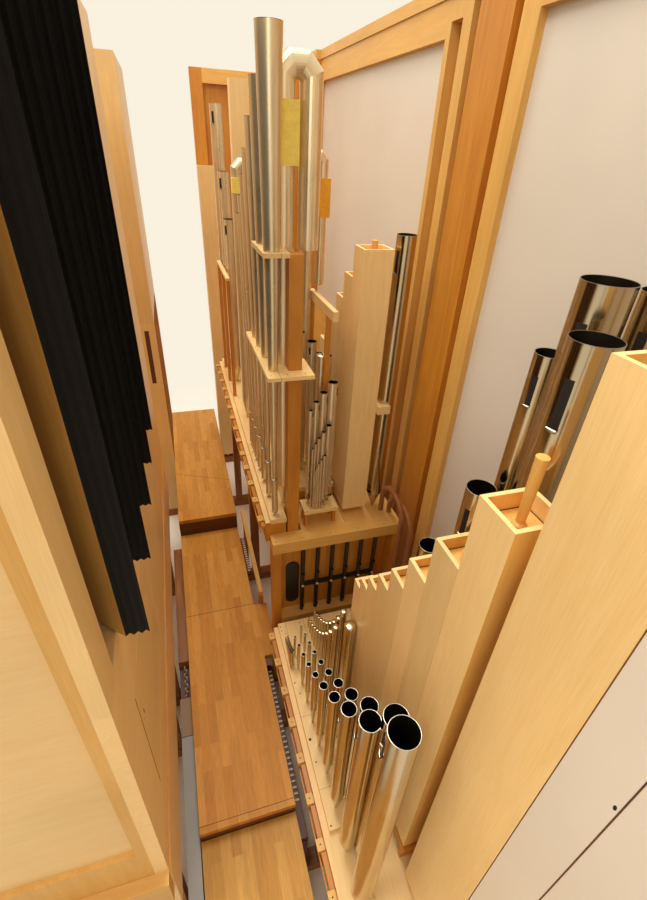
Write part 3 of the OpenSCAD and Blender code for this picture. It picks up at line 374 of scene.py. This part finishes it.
# Heights, and places along y, between the parts of one node that have their own colours.
PLINTH_BELOW, ROOF_ABOVE = 1.3, 4.5
NEAR_ROW_BEFORE, OVAL_BEFORE, END_WALL_BEHIND = 2.5, 2.6705, 3
MIDDLE_PAD_START, MIDDLE_PAD_END = 3.0, 3.6


def faces_up(p):
    return p.normal.z > 0.9


def near_wall_face(p):
    """2 for the ledge before the swell box's near wall, 1 for its sunk panel, 0 for the rest."""
    depth = p.center.y - near_wall_y
    return 2 if depth < -0.001 else int(abs(depth - PANEL_SUNK) < 0.001)


def inlay_face(p):
    """1 for the bottom of the inlay in the far trunk's board."""
    return int(abs(p.normal.y) > 0.9 and 0.003 < p.center.y - trunk_board_y < 0.02)


def side_trunk_face(p):
    """0 for the metal channel, 1 for the painted trunk behind it, 2 for the wooden trunk."""
    return 0 if p.center.y < GREY_CHANNEL_END else 1 if p.center.y < DUN_TRUNK_END else 2


dress("swell_near_wall", timber("maple", "z"), timber("pale", "x"), timber("maple", "x"), pick=near_wall_face)
# The plinth's top faces beside the walkway get orange wood: painted shade that tones down their lit top edge.
dress("swell_front_wall", timber("pale", "y"), timber("orange", "y"),
      pick=lambda p: int(faces_up(p) and p.center.z < PLINTH_BELOW))
for name in ("near_chest", "far_chest"):
    dress(name, timber("orange", "y"), timber("pale", "y"), pick=lambda p: int(faces_up(p)))
dress("portal_posts", timber("maple", "z"), timber("orange", "z"),
      pick=lambda p: int(p.center.y > END_WALL_BEHIND))
# The near row's faces that look to the walkway's near end get the darker maple: painted shade on the side
# turned from the light.
dress("wood_pipes", timber("pale", "z"), timber("maple", "z"),
      pick=lambda p: int(p.normal.y < -0.9 and p.center.y < NEAR_ROW_BEFORE))
# The roof's top faces lie near the lamps, so they get a browner wood: painted shade that tones down their
# light.
dress("swell_inner_boards", timber("maple", "y"), timber("brown", "y"),
      pick=lambda p: int(faces_up(p) and p.center.z > ROOF_ABOVE))
dress("walkboards", M_PARQUET)
dress("side_landing", M_PARQUET)
dress("far_trunk", timber("pale", "z"))
dress("far_trunk_board", timber("pale", "z"), timber("dark", "z"), pick=inlay_face)
dress("side_trunks", M_GREYBAR, M_DUN, timber("brown", "y"), pick=side_trunk_face)
dress("white_panels", M_WHITE)
dress("action_rollers", M_BLACK)
dress("action_panel", timber("orange", "z"), M_BLACK, pick=lambda p: int(p.center.y < OVAL_BEFORE))
dress("wind_hoses", M_HOSE)
# The middle one of the mitred pipes' pads is amber.
dress("pipe_pads", M_YELLOW, M_AMBER,
      pick=lambda p: int(MIDDLE_PAD_START < p.center.y < MIDDLE_PAD_END))

SHUTTERS = 5
FIRST_PIVOT, SHUTTER_PITCH = Vector((-0.466, 1.419, 0)), Vector((0, 0.367, 0))
FACE_DISTANCE = 0.0315  # the broad faces lie at least this far from a leaf's middle
opening = math.radians(48)
across_leaf = Vector((math.cos(opening), math.sin(opening), 0))
for k in range(SHUTTERS):
    pivot = FIRST_PIVOT + SHUTTER_PITCH * k

    def leaf_face(p):
        """0 for the felted edges, 1 for the black outer face, 2 for the bare inner face."""
        d = (p.center - pivot).dot(across_leaf)
        if abs(p.normal.dot(across_leaf)) < 0.97 or abs(d) < FACE_DISTANCE:
            return 0
        return 1 if d > 0 else 2

    dress(f"swell_shutter_{k + 1}", M_FELT, M_LEAF, timber("maple", "z"), pick=leaf_face)


# ---------------------------------------------------------------- pipes, in millimetres, as in the CAD
NEAR_TOE, FAR_TOE, BEAM_TOP = 1000.0, 1900.0, 1743.0
CHEST_X, TOE_X = 382, 418.0
NEAR_TOE_START, TOE_THICKNESS = 1056, 40


def row_sum(step, ratio, i):
    return step * (1 - ratio**i) / (1 - ratio)


def principal(i):
    """The i-th near principal from the walkway's near end, by the CAD's rule of sizes."""
    odd = i % 2
    y = 750 + row_sum(108, 0.96, i) + odd * 45
    h = 1635 * 0.894**i * (1 - 0.035 * odd)
    base = NEAR_TOE - (TOE_THICKNESS if y < NEAR_TOE_START else 0)
    return dict(x=TOE_X + 66 + odd * 72, y=y, z=base, d=112 * 0.905**i, h=NEAR_TOE + h - base,
                foot=min(160, h * 0.3), turn=0)


PRINCIPALS = [principal(i) for i in range(20)]
NEAR_BASS = [
    dict(x=1030 + a, y=150 + b, z=NEAR_TOE, d=166 * c, h=h, foot=200, turn=180)
    for a, b, c, h in [(14, 933, 0.9, 2790), (164, 1096, 1, 2903), (340, 1030, 0.95, 2880),
                       (34, 1232, 0.75, 2046), (172, 1240, 0.66, 2620), (64, 1528, 0.7, 1436)]
]
FAR_BASS = [dict(x=1294, y=2840, z=BEAM_TOP, d=120, h=2047, foot=152, turn=180)]
FAR_METAL = [
    dict(x=a, y=b, z=FAR_TOE, d=c, h=t - FAR_TOE, foot=180, turn=180)
    for a, b, c, t in [(535, 4060, 97, 3869), (610, 5072, 82, 4352), (516, 5117, 105, 3580),
                       (516, 5315, 112, 3965), (516, 5603, 124, 4494)]
]
FAR_RANKS = [
    dict(x=720 + 100 * k, y=3090 + 203.08 * i + 50 * (k % 2), z=FAR_TOE, d=70 - 2 * i,
         h=(1250 - 90 * k) * 0.94**i, foot=140, turn=180)
    for k in range(3) for i in range(14)
]
OFFSET_RANKS = [
    dict(x=x0 - row_sum(d0 * 0.93, 0.8, i), y=2700 + dy, z=FAR_TOE, d=d0 * 0.8**i, h=h0 * 0.93**i,
         foot=60, turn=-90)
    for dy, x0, d0, h0, n in [(104, 878, 66, 997, 4), (52, 850, 40, 700, 5), (16, 820, 24, 480, 6)]
    for i in range(n)
]
MIXTURE = [
    dict(x=TOE_X + 15 + 18 * k + i, y=2058 + 26 * i + 12 * k, z=NEAR_TOE, d=15 - 0.6 * i,
         h=190 * 0.88**i, foot=25, turn=0)
    for i in range(9) for k in (0, 1)
]
OPEN_PIPES = PRINCIPALS + NEAR_BASS + FAR_BASS + FAR_METAL + FAR_RANKS + OFFSET_RANKS + MIXTURE
CAPPED_PIPE = dict(x=834, y=2945, d=73)
REEDS = [
    dict(x=460, y=2725 + row_sum(225, 0.88, i), z=FAR_TOE, h=2740 * 0.94**i, d=126 * 0.95**i, boot=330)
    for i in range(7)
]


def inner_faces(pipes):
    """Says which faces look towards the axis of their pipe, or close it below."""
    spots = [(p["x"] * MM, p["y"] * MM, p["d"] / 2 * MM) for p in pipes]

    def pick(p):
        c = p.center
        # A face belongs to the pipe on whose wall it lies.
        x, y, _ = min(spots, key=lambda s: abs(math.hypot(s[0] - c.x, s[1] - c.y) - s[2]))
        outward = (c.x - x) * p.normal.x + (c.y - y) * p.normal.y
        return int(outward < -1e-5 or (faces_up(p) and abs(c.x - x) < 0.004))

    return pick


dress("near_principals", M_TIN, M_LEAD, pick=inner_faces(PRINCIPALS))
dress("bass_pipes", M_TIN, M_LEAD, pick=inner_faces(NEAR_BASS + FAR_BASS))
dress("far_principals", M_DULL, M_LEAD,
      pick=inner_faces(FAR_METAL + FAR_RANKS + OFFSET_RANKS + [CAPPED_PIPE]))
dress("far_reeds", M_DULL, M_LEAD, pick=inner_faces(REEDS))
dress("near_small_pipes", M_TIN)
dress("mitred_pipes", M_DULL)


# ---------------------------------------------------------------- pieces, in millimetres
class Shape:
    """Collects the faces of one piece."""

    def __init__(self):
        self.bm = bmesh.new()

    def box(self, a, b, bevel=0.0):
        a, b = Vector(a), Vector(b)
        verts = bmesh.ops.create_cube(self.bm, size=1.0)["verts"]
        bmesh.ops.scale(self.bm, vec=b - a, verts=verts)
        bmesh.ops.translate(self.bm, vec=(a + b) / 2, verts=verts)
        if bevel:
            edges = list({e for v in verts for e in v.link_edges})
            bmesh.ops.bevel(self.bm, geom=edges, offset=bevel, segments=1, affect="EDGES", profile=0.5)

    def lathe(self, origin, axis, profile, seg=16, closed=False):
        """Turns (radius, height) points about an axis; a radius of 0 closes an end."""
        origin, axis = Vector(origin), Vector(axis).normalized()
        side = axis.orthogonal().normalized()
        other = axis.cross(side)
        rings = []
        for r, h in profile:
            c = origin + axis * h
            if r <= 1e-6:
                rings.append([self.bm.verts.new(c)])
            else:
                rings.append([
                    self.bm.verts.new(c + (side * math.cos(t) + other * math.sin(t)) * r)
                    for t in (2 * math.pi * k / seg for k in range(seg))
                ])
        if closed:
            rings.append(rings[0])
        for p, q in zip(rings, rings[1:]):
            for k in range(seg):
                corners = (p[k % len(p)], p[(k + 1) % len(p)], q[(k + 1) % len(q)], q[k % len(q)])
                corners = list(dict.fromkeys(corners))
                if len(corners) > 2:
                    self.bm.faces.new(corners)

    def strip(self, rows):
        """A sheet through rows of points."""
        grid = [[self.bm.verts.new(p) for p in row] for row in rows]
        for p, q in zip(grid, grid[1:]):
            for k in range(len(p) - 1):
                self.bm.faces.new((p[k], p[k + 1], q[k + 1], q[k]))

    def prism(self, points, direction):
        """A flat outline pushed along a direction."""
        low = [self.bm.verts.new(p) for p in points]
        high = [self.bm.verts.new(Vector(p) + Vector(direction)) for p in points]
        n = len(points)
        self.bm.faces.new(low[::-1])
        self.bm.faces.new(high)
        for k in range(n):
            self.bm.faces.new((low[k], low[(k + 1) % n], high[(k + 1) % n], high[k]))

    def done(self, name, material, slot, smooth=30, body="organ"):
        """Makes the piece; edges sharper than smooth degrees stay sharp."""
        bmesh.ops.recalc_face_normals(self.bm, faces=self.bm.faces)
        bmesh.ops.scale(self.bm, vec=(MM, MM, MM), verts=self.bm.verts)
        me = bpy.data.meshes.new(name)
        self.bm.to_mesh(me)
        self.bm.free()
        me.materials.append(material)
        obj = bpy.data.objects.new(name, me)
        bpy.context.scene.collection.objects.link(obj)
        for p in me.polygons:
            p.use_smooth = True
        me.set_sharp_from_angle(angle=math.radians(smooth))
        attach(obj, body)


rims, seams, lips, ears, slots, scrolls = (Shape() for _ in range(6))
rails, plates, screws, holes, lines = (Shape() for _ in range(5))
nuts, ribs, teeth, combs, felts, collars = (Shape() for _ in range(6))


# ---------------------------------------------------------------- pipes: rims, seams, lips, ears
LIP_ANGLE, EAR_ANGLE, EAR_TIP_ANGLE = 43, 47, 44  # degrees from the middle of the mouth
EAR_THICKNESS = 1.2
SMALLEST_MOUTH = 12  # pipes with a smaller radius get no mouth


def polar(p, angle, r, z):
    """A point beside a pipe, at an angle from where its mouth looks."""
    a = math.radians(p["turn"] + angle)
    return Vector((p["x"] + r * math.cos(a), p["y"] + r * math.sin(a), z))


def ring(shape, p, z, profile, seg):
    shape.lathe((p["x"], p["y"], z), UP, profile, seg, True)


def upper_lip(p, bottom):
    """The flattened field above the mouth, pointed at its top."""
    rows = []
    for k in range(9):
        t = k / 8
        half = LIP_ANGLE * (1 - t**2.2)
        z = bottom + t * p["d"] * 1.25
        rows.append([polar(p, half * u, p["d"] / 2 + 0.5, z) for u in (-1, -0.6, -0.2, 0.2, 0.6, 1)])
    lips.strip(rows)


def lower_lip(p, top):
    """The same on the cone of the foot, pointed downward."""
    r, foot = p["d"] / 2, p["foot"]
    drop = min(foot * 0.6, p["d"] * 1.1)
    tip = min(8, r * 0.6)
    rows = []
    for k in range(7):
        t = k / 6
        half = LIP_ANGLE * (1 - t**2)
        at = tip + (r - tip) * (foot - t * drop) / foot + 0.6
        rows.append([polar(p, half * u, at, top - t * drop) for u in (-1, -0.5, 0, 0.5, 1)])
    lips.strip(rows)


def ear_pair(p, low, high):
    """Two small plates beside the mouth."""
    r = p["d"] / 2
    for side in (-1, 1):
        a = polar(p, side * EAR_ANGLE, r - 1, 0)
        b = polar(p, side * EAR_TIP_ANGLE, r + p["d"] * 0.13, 0)
        through = (b - a).cross(Vector(UP)).normalized() * EAR_THICKNESS
        corners = ((a, low), (b, low), (b, high), (a, high))
        ears.prism([at + through / 2 + Vector((0, 0, z)) for at, z in corners], -through)


for p in OPEN_PIPES:
    r = p["d"] / 2
    seg = 32 if r > 30 else 20 if r > 12 else 12
    wall = min(2.0, r * 0.2)
    lip = min(0.5, r * 0.03)
    inner = r - wall - lip * 0.4
    profile = [(inner, -1.2), (inner, 0.25), (r - wall / 2, 0.7), (r + lip, 0.25), (r + lip, -1.6)]
    ring(rims, p, p["z"] + p["h"], profile, seg)
    base = p["z"] + p["foot"]
    ring(seams, p, base, [(r - 0.3, -1.4), (r + 0.45, 0), (r - 0.3, 1.4)], seg)
    if r >= SMALLEST_MOUTH:
        mouth = p["d"] * 0.22
        upper_lip(p, base + wall + mouth)
        lower_lip(p, base)
        ear_pair(p, base - mouth * 0.5, base + mouth * 1.5)


def tuning_slot(p, angle, length, below, curl):
    """A slot below the pipe's top whose tongue of metal is rolled down and outward.

    It is a fifth of the diameter wide. Its length, its distance below the top and the roll's
    radius are given as parts of the diameter.
    """
    d, r = p["d"], p["d"] / 2
    length, below, curl = d * length, d * below, d * curl
    top = p["z"] + p["h"] - below
    half = math.degrees(d * 0.2 / 2 / r)
    slots.strip([[polar(p, angle - half + 2 * half * k / 6, r + 0.35, z) for k in range(7)]
                 for z in (top - length, top)])
    half *= 0.96
    roll = []
    for k in range(15):
        t = k / 14
        turn = math.radians(200 + 470 * t)
        rad = curl * (1 - 0.45 * t)
        out = r + 0.8 + curl + rad * math.cos(turn)
        z = top - length + rad * math.sin(turn) + curl * 0.3
        roll.append([polar(p, angle - half + 2 * half * n / 4, out, z) for n in range(5)])
    scrolls.strip(roll)


for i, p in enumerate(PRINCIPALS[:16]):
    tuning_slot(p, 205 if i % 2 else 160, 0.85, 0.55, 0.06)
for p in NEAR_BASS + FAR_BASS:
    tuning_slot(p, 20, 1.1, 0.7, 0.055)
for p in FAR_METAL + FAR_RANKS[::2] + OFFSET_RANKS[:4]:
    tuning_slot(p, 50, 0.8, 0.5, 0.06)

SOCKET_Z, SOCKET_R = 40, 22  # the lower collar of a reed's boot, and the radius of both collars
for p in REEDS:
    r = p["d"] / 2
    profile = [(r - 2.6, -1.2), (r - 2.6, 0.3), (r - 1, 0.8), (r + 0.5, 0.3), (r + 0.5, -1.8)]
    ring(rims, p, p["z"] + p["h"], profile, 32)
    collar = [(SOCKET_R - 0.5, -4), (SOCKET_R + 1.6, -3), (SOCKET_R + 1.6, 3), (SOCKET_R - 0.5, 4)]
    for z in (SOCKET_Z, p["boot"]):
        ring(seams, p, p["z"] + z, collar, 20)


# ---------------------------------------------------------------- chests: rails, clamps, screws, lines
CLAMP_PITCH, CLAMP_WIDTH = 228, 46


def screw(x, y, z, r):
    """A countersunk screw head with a round recess."""
    screws.lathe((x, y, z), UP, [(r * 1.15, 0.05), (r, 0.5), (r * 0.45, 0.7), (r * 0.4, 0.1), (0, 0.1)], 10)


def oval_hole(x, y, z, half_width, half_height, steps, depth):
    """A small dark oval on a face that looks along x."""
    turns = [2 * math.pi * k / steps for k in range(steps)]
    outline = [(x, y + half_width * math.cos(t), z + half_height * math.sin(t)) for t in turns]
    holes.prism(outline, (depth, 0, 0))


for start, end, top, first in ((160, 2444, 940, 320), (2690, 5800, 1840, 2749)):
    rails.box((CHEST_X - 29, start, top - 34), (CHEST_X - 0.5, end, top - 6), 1.5)
    rails.box((CHEST_X - 41, start, top - 66), (CHEST_X - 33, end, top - 44), 1.5)
    for y in range(first, end - CLAMP_WIDTH, CLAMP_PITCH):
        plates.box((CHEST_X - 47, y - 7, top - 3), (CHEST_X - 3, y + 53, top + 9), 2.0)
        plates.box((CHEST_X - 41, y + 6, top - 52), (CHEST_X - 29, y + 40, top - 3), 1.5)
        screw(CHEST_X - 25, y + 23, top + 9, 4.2)
# Screws, and small holes drawn as dark discs of painted shade, along the near toeboard, where the photo shows
# them.
for x, y in ((434, 1942), (438, 1549), (439, 1412), (432, 1076), (433, 2420), (590, 2422)):
    screw(x, y, NEAR_TOE, 4.5)
for x, y, r in ((438, 1549, 9), (452, 2050, 4), (433, 2382, 4),
                (450, 1860, 4), (447, 2300, 3.5), (463, 2350, 3.5)):
    holes.lathe((x, y, NEAR_TOE + 0.3), UP, [(r, 0), (0, 0.01)], 14)
# The joints of the near toeboard and the splits of the racks.
for x in (476, 620):
    lines.box((x, 2130, NEAR_TOE - 0.5), (x + 1.6, 2450, NEAR_TOE + 0.3))
for y in (1262, 1700, 2128):
    lines.box((TOE_X + 0.4, y, NEAR_TOE - 0.5), (640, y + 1.4, NEAR_TOE + 0.25))
LOW_RACK, HIGH_RACK = 3050, 3724
for x, start, end, z in ((484, 2597, 2690, LOW_RACK), (500, 2660, 2675, HIGH_RACK)):
    lines.box((x - 0.9, start - 0.3, z - 23.5), (x + 0.9, end, z + 0.3))
# The access door's painted shadow line, and its keyhole and screw hole as dark ovals of painted shade.
DOOR_X = -405.6
lines.box((-406.6, 1309, 1552), (-405.4, 1315, 2270))
oval_hole(DOOR_X, 1380, 2062, 6, 17, 16, 0.3)
oval_hole(DOOR_X, 1350, 2052, 3, 5, 12, 0.3)
# The groove of the white return panel, and its keyhole as a dark oval of painted shade.
lines.box((743.5, 314, 962), (744.4, 318, 4800))
oval_hole(743.6, 327, 2999, 4, 9, 16, 0.8)
# Screws in the racks, the beam and the far toeboard.
for z, places in (
    (LOW_RACK, ((430, 2640), (530, 2640), (640, 2640), (430, 3000), (430, 3400))),
    (HIGH_RACK, ((430, 2700), (530, 2700), (430, 3000))),
    (BEAM_TOP, ((440, 2600), (640, 2600), (860, 2600), (1080, 2600), (1300, 2600))),
    (FAR_TOE, ((700, 2700), (920, 2700))),
):
    for x, y in places:
        screw(x, y, z, 4.0)


# ---------------------------------------------------------------- stoppers, rollers, hoses, combs
def stopper_solids():
    """The points of each solid of the stoppers' node, told apart by their tones."""
    mesh = nodes["pipe_stoppers"].data
    solids = {}
    for v in mesh.vertices:
        solids.setdefault(mesh.attributes["tone"].data[v.index].value, []).append(v.co * 1000)
    return solids.values()


FELT_WIDTH = 3
PIPE_WALL = 12
for points in stopper_solids():
    x0, y0 = min(c.x for c in points), min(c.y for c in points)
    x1, y1 = max(c.x for c in points), max(c.y for c in points)
    # Only a square block has its top and bottom at this corner; the turned handles are left out.
    corner = {round(c.z, 1) for c in points if c.x < x0 + 0.1 and abs(c.y - y0) < 0.1}
    if len(corner) < 2:
        continue
    top, w = max(corner), FELT_WIDTH
    for a, b in (
        ((x0, y0), (x1, y0 + w)), ((x0, y1 - w), (x1, y1)),
        ((x0, y0 + w), (x0 + w, y1 - w)), ((x1 - w, y0 + w), (x1, y1 - w)),
    ):
        felts.box((*a, top - 1), (*b, top + 0.7))
    r = (y1 - y0 + 2 * PIPE_WALL) * 0.08
    collar = [(r * 1.7, 0), (r * 1.7, r * 0.35), (r * 1.3, r * 0.8), (r, r * 0.95)]
    collars.lathe(((x0 + x1) / 2, (y0 + y1) / 2, top), UP, collar, 24)

FIRST_ROLLER, ROLLER_PITCH = Vector((659, 2608.5, 1202)), Vector((120, 0, 0))
for i in range(6):
    nut = [(11, 0), (11, 3), (8, 3.5), (8, 9), (6, 10), (0, 10)]
    nuts.lathe(FIRST_ROLLER + ROLLER_PITCH * i, (0, -1, 0), nut, 12)

RIB_PITCH, HOSE_START, HOSE_END = 7, 1750, 1010
ARCH_RIBS = 70
# Each hose rises at y0 from the beam, arches over and goes down at y1 to the trunk.
for x, y0, y1, arch, rise in ((1340, 2769, 2414, 1893, 150), (1392, 2729, 2344, 1803, 160)):
    path = [Vector((x, y0, HOSE_START + k * RIB_PITCH)) for k in range(int((arch - HOSE_START) / RIB_PITCH))]
    for k in range(ARCH_RIBS + 1):
        t = math.pi * k / ARCH_RIBS
        path.append(Vector((x, (y0 + y1) / 2 + (y0 - y1) / 2 * math.cos(t), arch + rise * math.sin(t))))
    path += [Vector((x, y1, arch - RIB_PITCH * k)) for k in range(1, int((arch - HOSE_END) / RIB_PITCH))]
    for a, b in zip(path, path[1:]):
        ribs.lathe(a, b - a, [(17.6, -2.2), (20.2, -0.9), (20.2, 0.9), (17.6, 2.2)], 12)

# A comb of pegs between the left trunks, and studs along the far one.
combs.box((-383, 2274.5, 500), (-305, 2589.5, 520), 1.5)
for k in range(9):
    teeth.lathe((-340 + 12 * (k % 2), 2310 + 31 * k, 520), UP, [(6, 0), (6, 44), (4.5, 48), (0, 48)], 10)
for k in range(40):
    holes.lathe((-372, 2620 + 32 * k, 592.2), UP, [(4, 0), (0, 0.01)], 10)
# Right of the walkway: a tracker board on two posts, a second one at the landing, both with pale teeth.
combs.box((302, 1212, 466), (352, 2440, 500), 2)
for y in (1226, 2204):
    combs.box((306, y - 20, 100), (348, y + 20, 466), 2)
combs.box((295.1, 3345, 664), (340, 3836, 676), 1.5)
for k in range(15):
    teeth.box((313, 3360 + 32 * k, 676), (338, 3372 + 32 * k, 681), 1)
for k in range(26):
    teeth.box((318, 1420 + 38 * k, 500), (346, 1434 + 38 * k, 508), 1.5)

rails.done("clamp_rails", timber("orange", "y"), "maple")
plates.done("clamp_plates", timber("maple", "y"), "maple")
screws.done("screws", M_SCREW, "maple")
holes.done("small_holes", M_HOLE, "maple")
lines.done("seam_lines", timber("dark", "y"), "maple")
nuts.done("roller_nuts", M_NUT, "black_roller")
felts.done("stopper_felts", M_FELT, "black_roller")
collars.done("stopper_collars", timber("maple", "z"), "maple", 40)
ribs.done("hose_ribs", M_HOSE, "hose", 60)
teeth.done("comb_teeth", M_TEETH, "maple")
combs.done("comb_boards", timber("dark", "y"), "brown_wood")

rims.done("pipe_rims", M_RIM, "pipe_metal", 50)
seams.done("pipe_seams", M_RIM, "pipe_metal", 50)
lips.done("pipe_lips", M_TIN, "pipe_metal", 50)
ears.done("pipe_ears", M_TIN, "pipe_metal")
# The slots are dark sheets on the pipe wall: painted shade of the pipe's inside seen through the slot.
slots.done("tuning_slots", M_HOLE, "pipe_metal", 50)
scrolls.done("tuning_scrolls", M_RIM, "pipe_metal", 50)


# ---------------------------------------------------------------- floor, light, camera, in metres
BACKDROP = srgb(250, 241, 222)
FLOOR = srgb(240, 230, 212)
FLOOR_HALF = 40.0
MIDDLE_Y = 3.2
FADE_START, FADE_END = 3.4, 6.5  # from the organ's middle
WORLD_TINT, WORLD_STRENGTH = (1.0, 0.95, 0.87, 1), 0.76
# Name, place, aim, size, power and colour of each lamp. Two hang high, or the roof would clip.
LAMPS = [
    ("key", (0.1, 5.2, 12.0), (0.1, 2.8, 1.0), 4.6, 850, (1.0, 0.96, 0.89)),
    ("left", (-4.2, 1.0, 11.0), (0.9, 1.6, 2.4), 4.0, 470, (1.0, 0.96, 0.9)),
    ("front", (-0.6, -1.6, 5.0), (2.2, 1.0, 2.4), 1.6, 30, (1.0, 0.96, 0.88)),
]
# The camera as solved from the photo's vanishing points: its place and its own x, y and z axes.
CAMERA_AT = (-0.056, 0.100, 4.200)
CAMERA_AXES = (
    (0.95745665, -0.28491425, 0.04583274),
    (0.11763762, 0.53037799, 0.83955975),
    (-0.26351122, -0.79845041, 0.54133056),
)


def place(name, data):
    obj = bpy.data.objects.new(name, data)
    bpy.context.scene.collection.objects.link(obj)
    return obj


def stage_floor():
    me = bpy.data.meshes.new("studio_floor")
    s = FLOOR_HALF
    me.from_pydata([(-s, -s, -MM), (s, -s, -MM), (s, s, -MM), (-s, s, -MM)], [], [(0, 1, 2, 3)])
    obj = place("studio_floor", me)
    g = Graph("studio_floor", 0.9)
    g.set("Base Color", g.shade(FLOOR, g.noise(g.coords(), 0.6, 2), 0.97, 1.0))
    # Far from the object the floor fades into the pale backdrop for the camera and for reflections.
    x, y, _ = g.add("SeparateXYZ", Vector=g.coords(at=(0, -MIDDLE_Y, 0))).outputs
    distance = g.math("SQRT", g.math("ADD", g.math("POWER", x, 2.0), g.math("POWER", y, 2.0)))
    path = g.add("LightPath").outputs
    seen = g.largest(path["Is Camera Ray"], path["Is Glossy Ray"])
    fade = g.add("MapRange", {"interpolation_type": "SMOOTHSTEP"}, Value=distance,
                 **{"From Min": FADE_START, "From Max": FADE_END}).outputs[0]
    g.show(g.math("MULTIPLY", fade, seen), g.bsdf, g.add("Emission", Color=BACKDROP, Strength=1.0))
    me.materials.append(g.mat)


def world():
    """A plain warm light; the camera and reflections see the backdrop's colour instead."""
    w = bpy.data.worlds.new("studio")
    bpy.context.scene.world = w
    w.use_nodes = True
    g = Tree(w.node_tree)
    light = g.tree.nodes["Background"]
    g.put(light.inputs["Color"], WORLD_TINT)
    g.put(light.inputs["Strength"], WORLD_STRENGTH)
    path = g.add("LightPath").outputs
    seen = g.largest(path["Is Camera Ray"], path["Is Transmission Ray"], path["Is Glossy Ray"])
    g.show(seen, light, g.add("Background", Color=BACKDROP, Strength=1.0))


def area(name, at, to, size, power, color):
    light = bpy.data.lights.new(name, "AREA")
    light.size = size
    light.energy = power
    light.color = color
    obj = place(name, light)
    obj.location = at
    obj.rotation_euler = (Vector(to) - Vector(at)).to_track_quat("-Z", "Y").to_euler()


def camera():
    data = bpy.data.cameras.new("photo_camera")
    data.lens = 18.8
    data.sensor_width = 36.0
    data.clip_start = 0.02
    obj = place("photo_camera", data)
    rows = [[axis[i] for axis in CAMERA_AXES] + [CAMERA_AT[i]] for i in range(3)]
    obj.matrix_world = Matrix(rows + [[0, 0, 0, 1]])
    bpy.context.scene.camera = obj


stage_floor()
world()
for lamp in LAMPS:
    area(*lamp)
camera()
bpy.context.scene.view_settings.view_transform = "Standard"
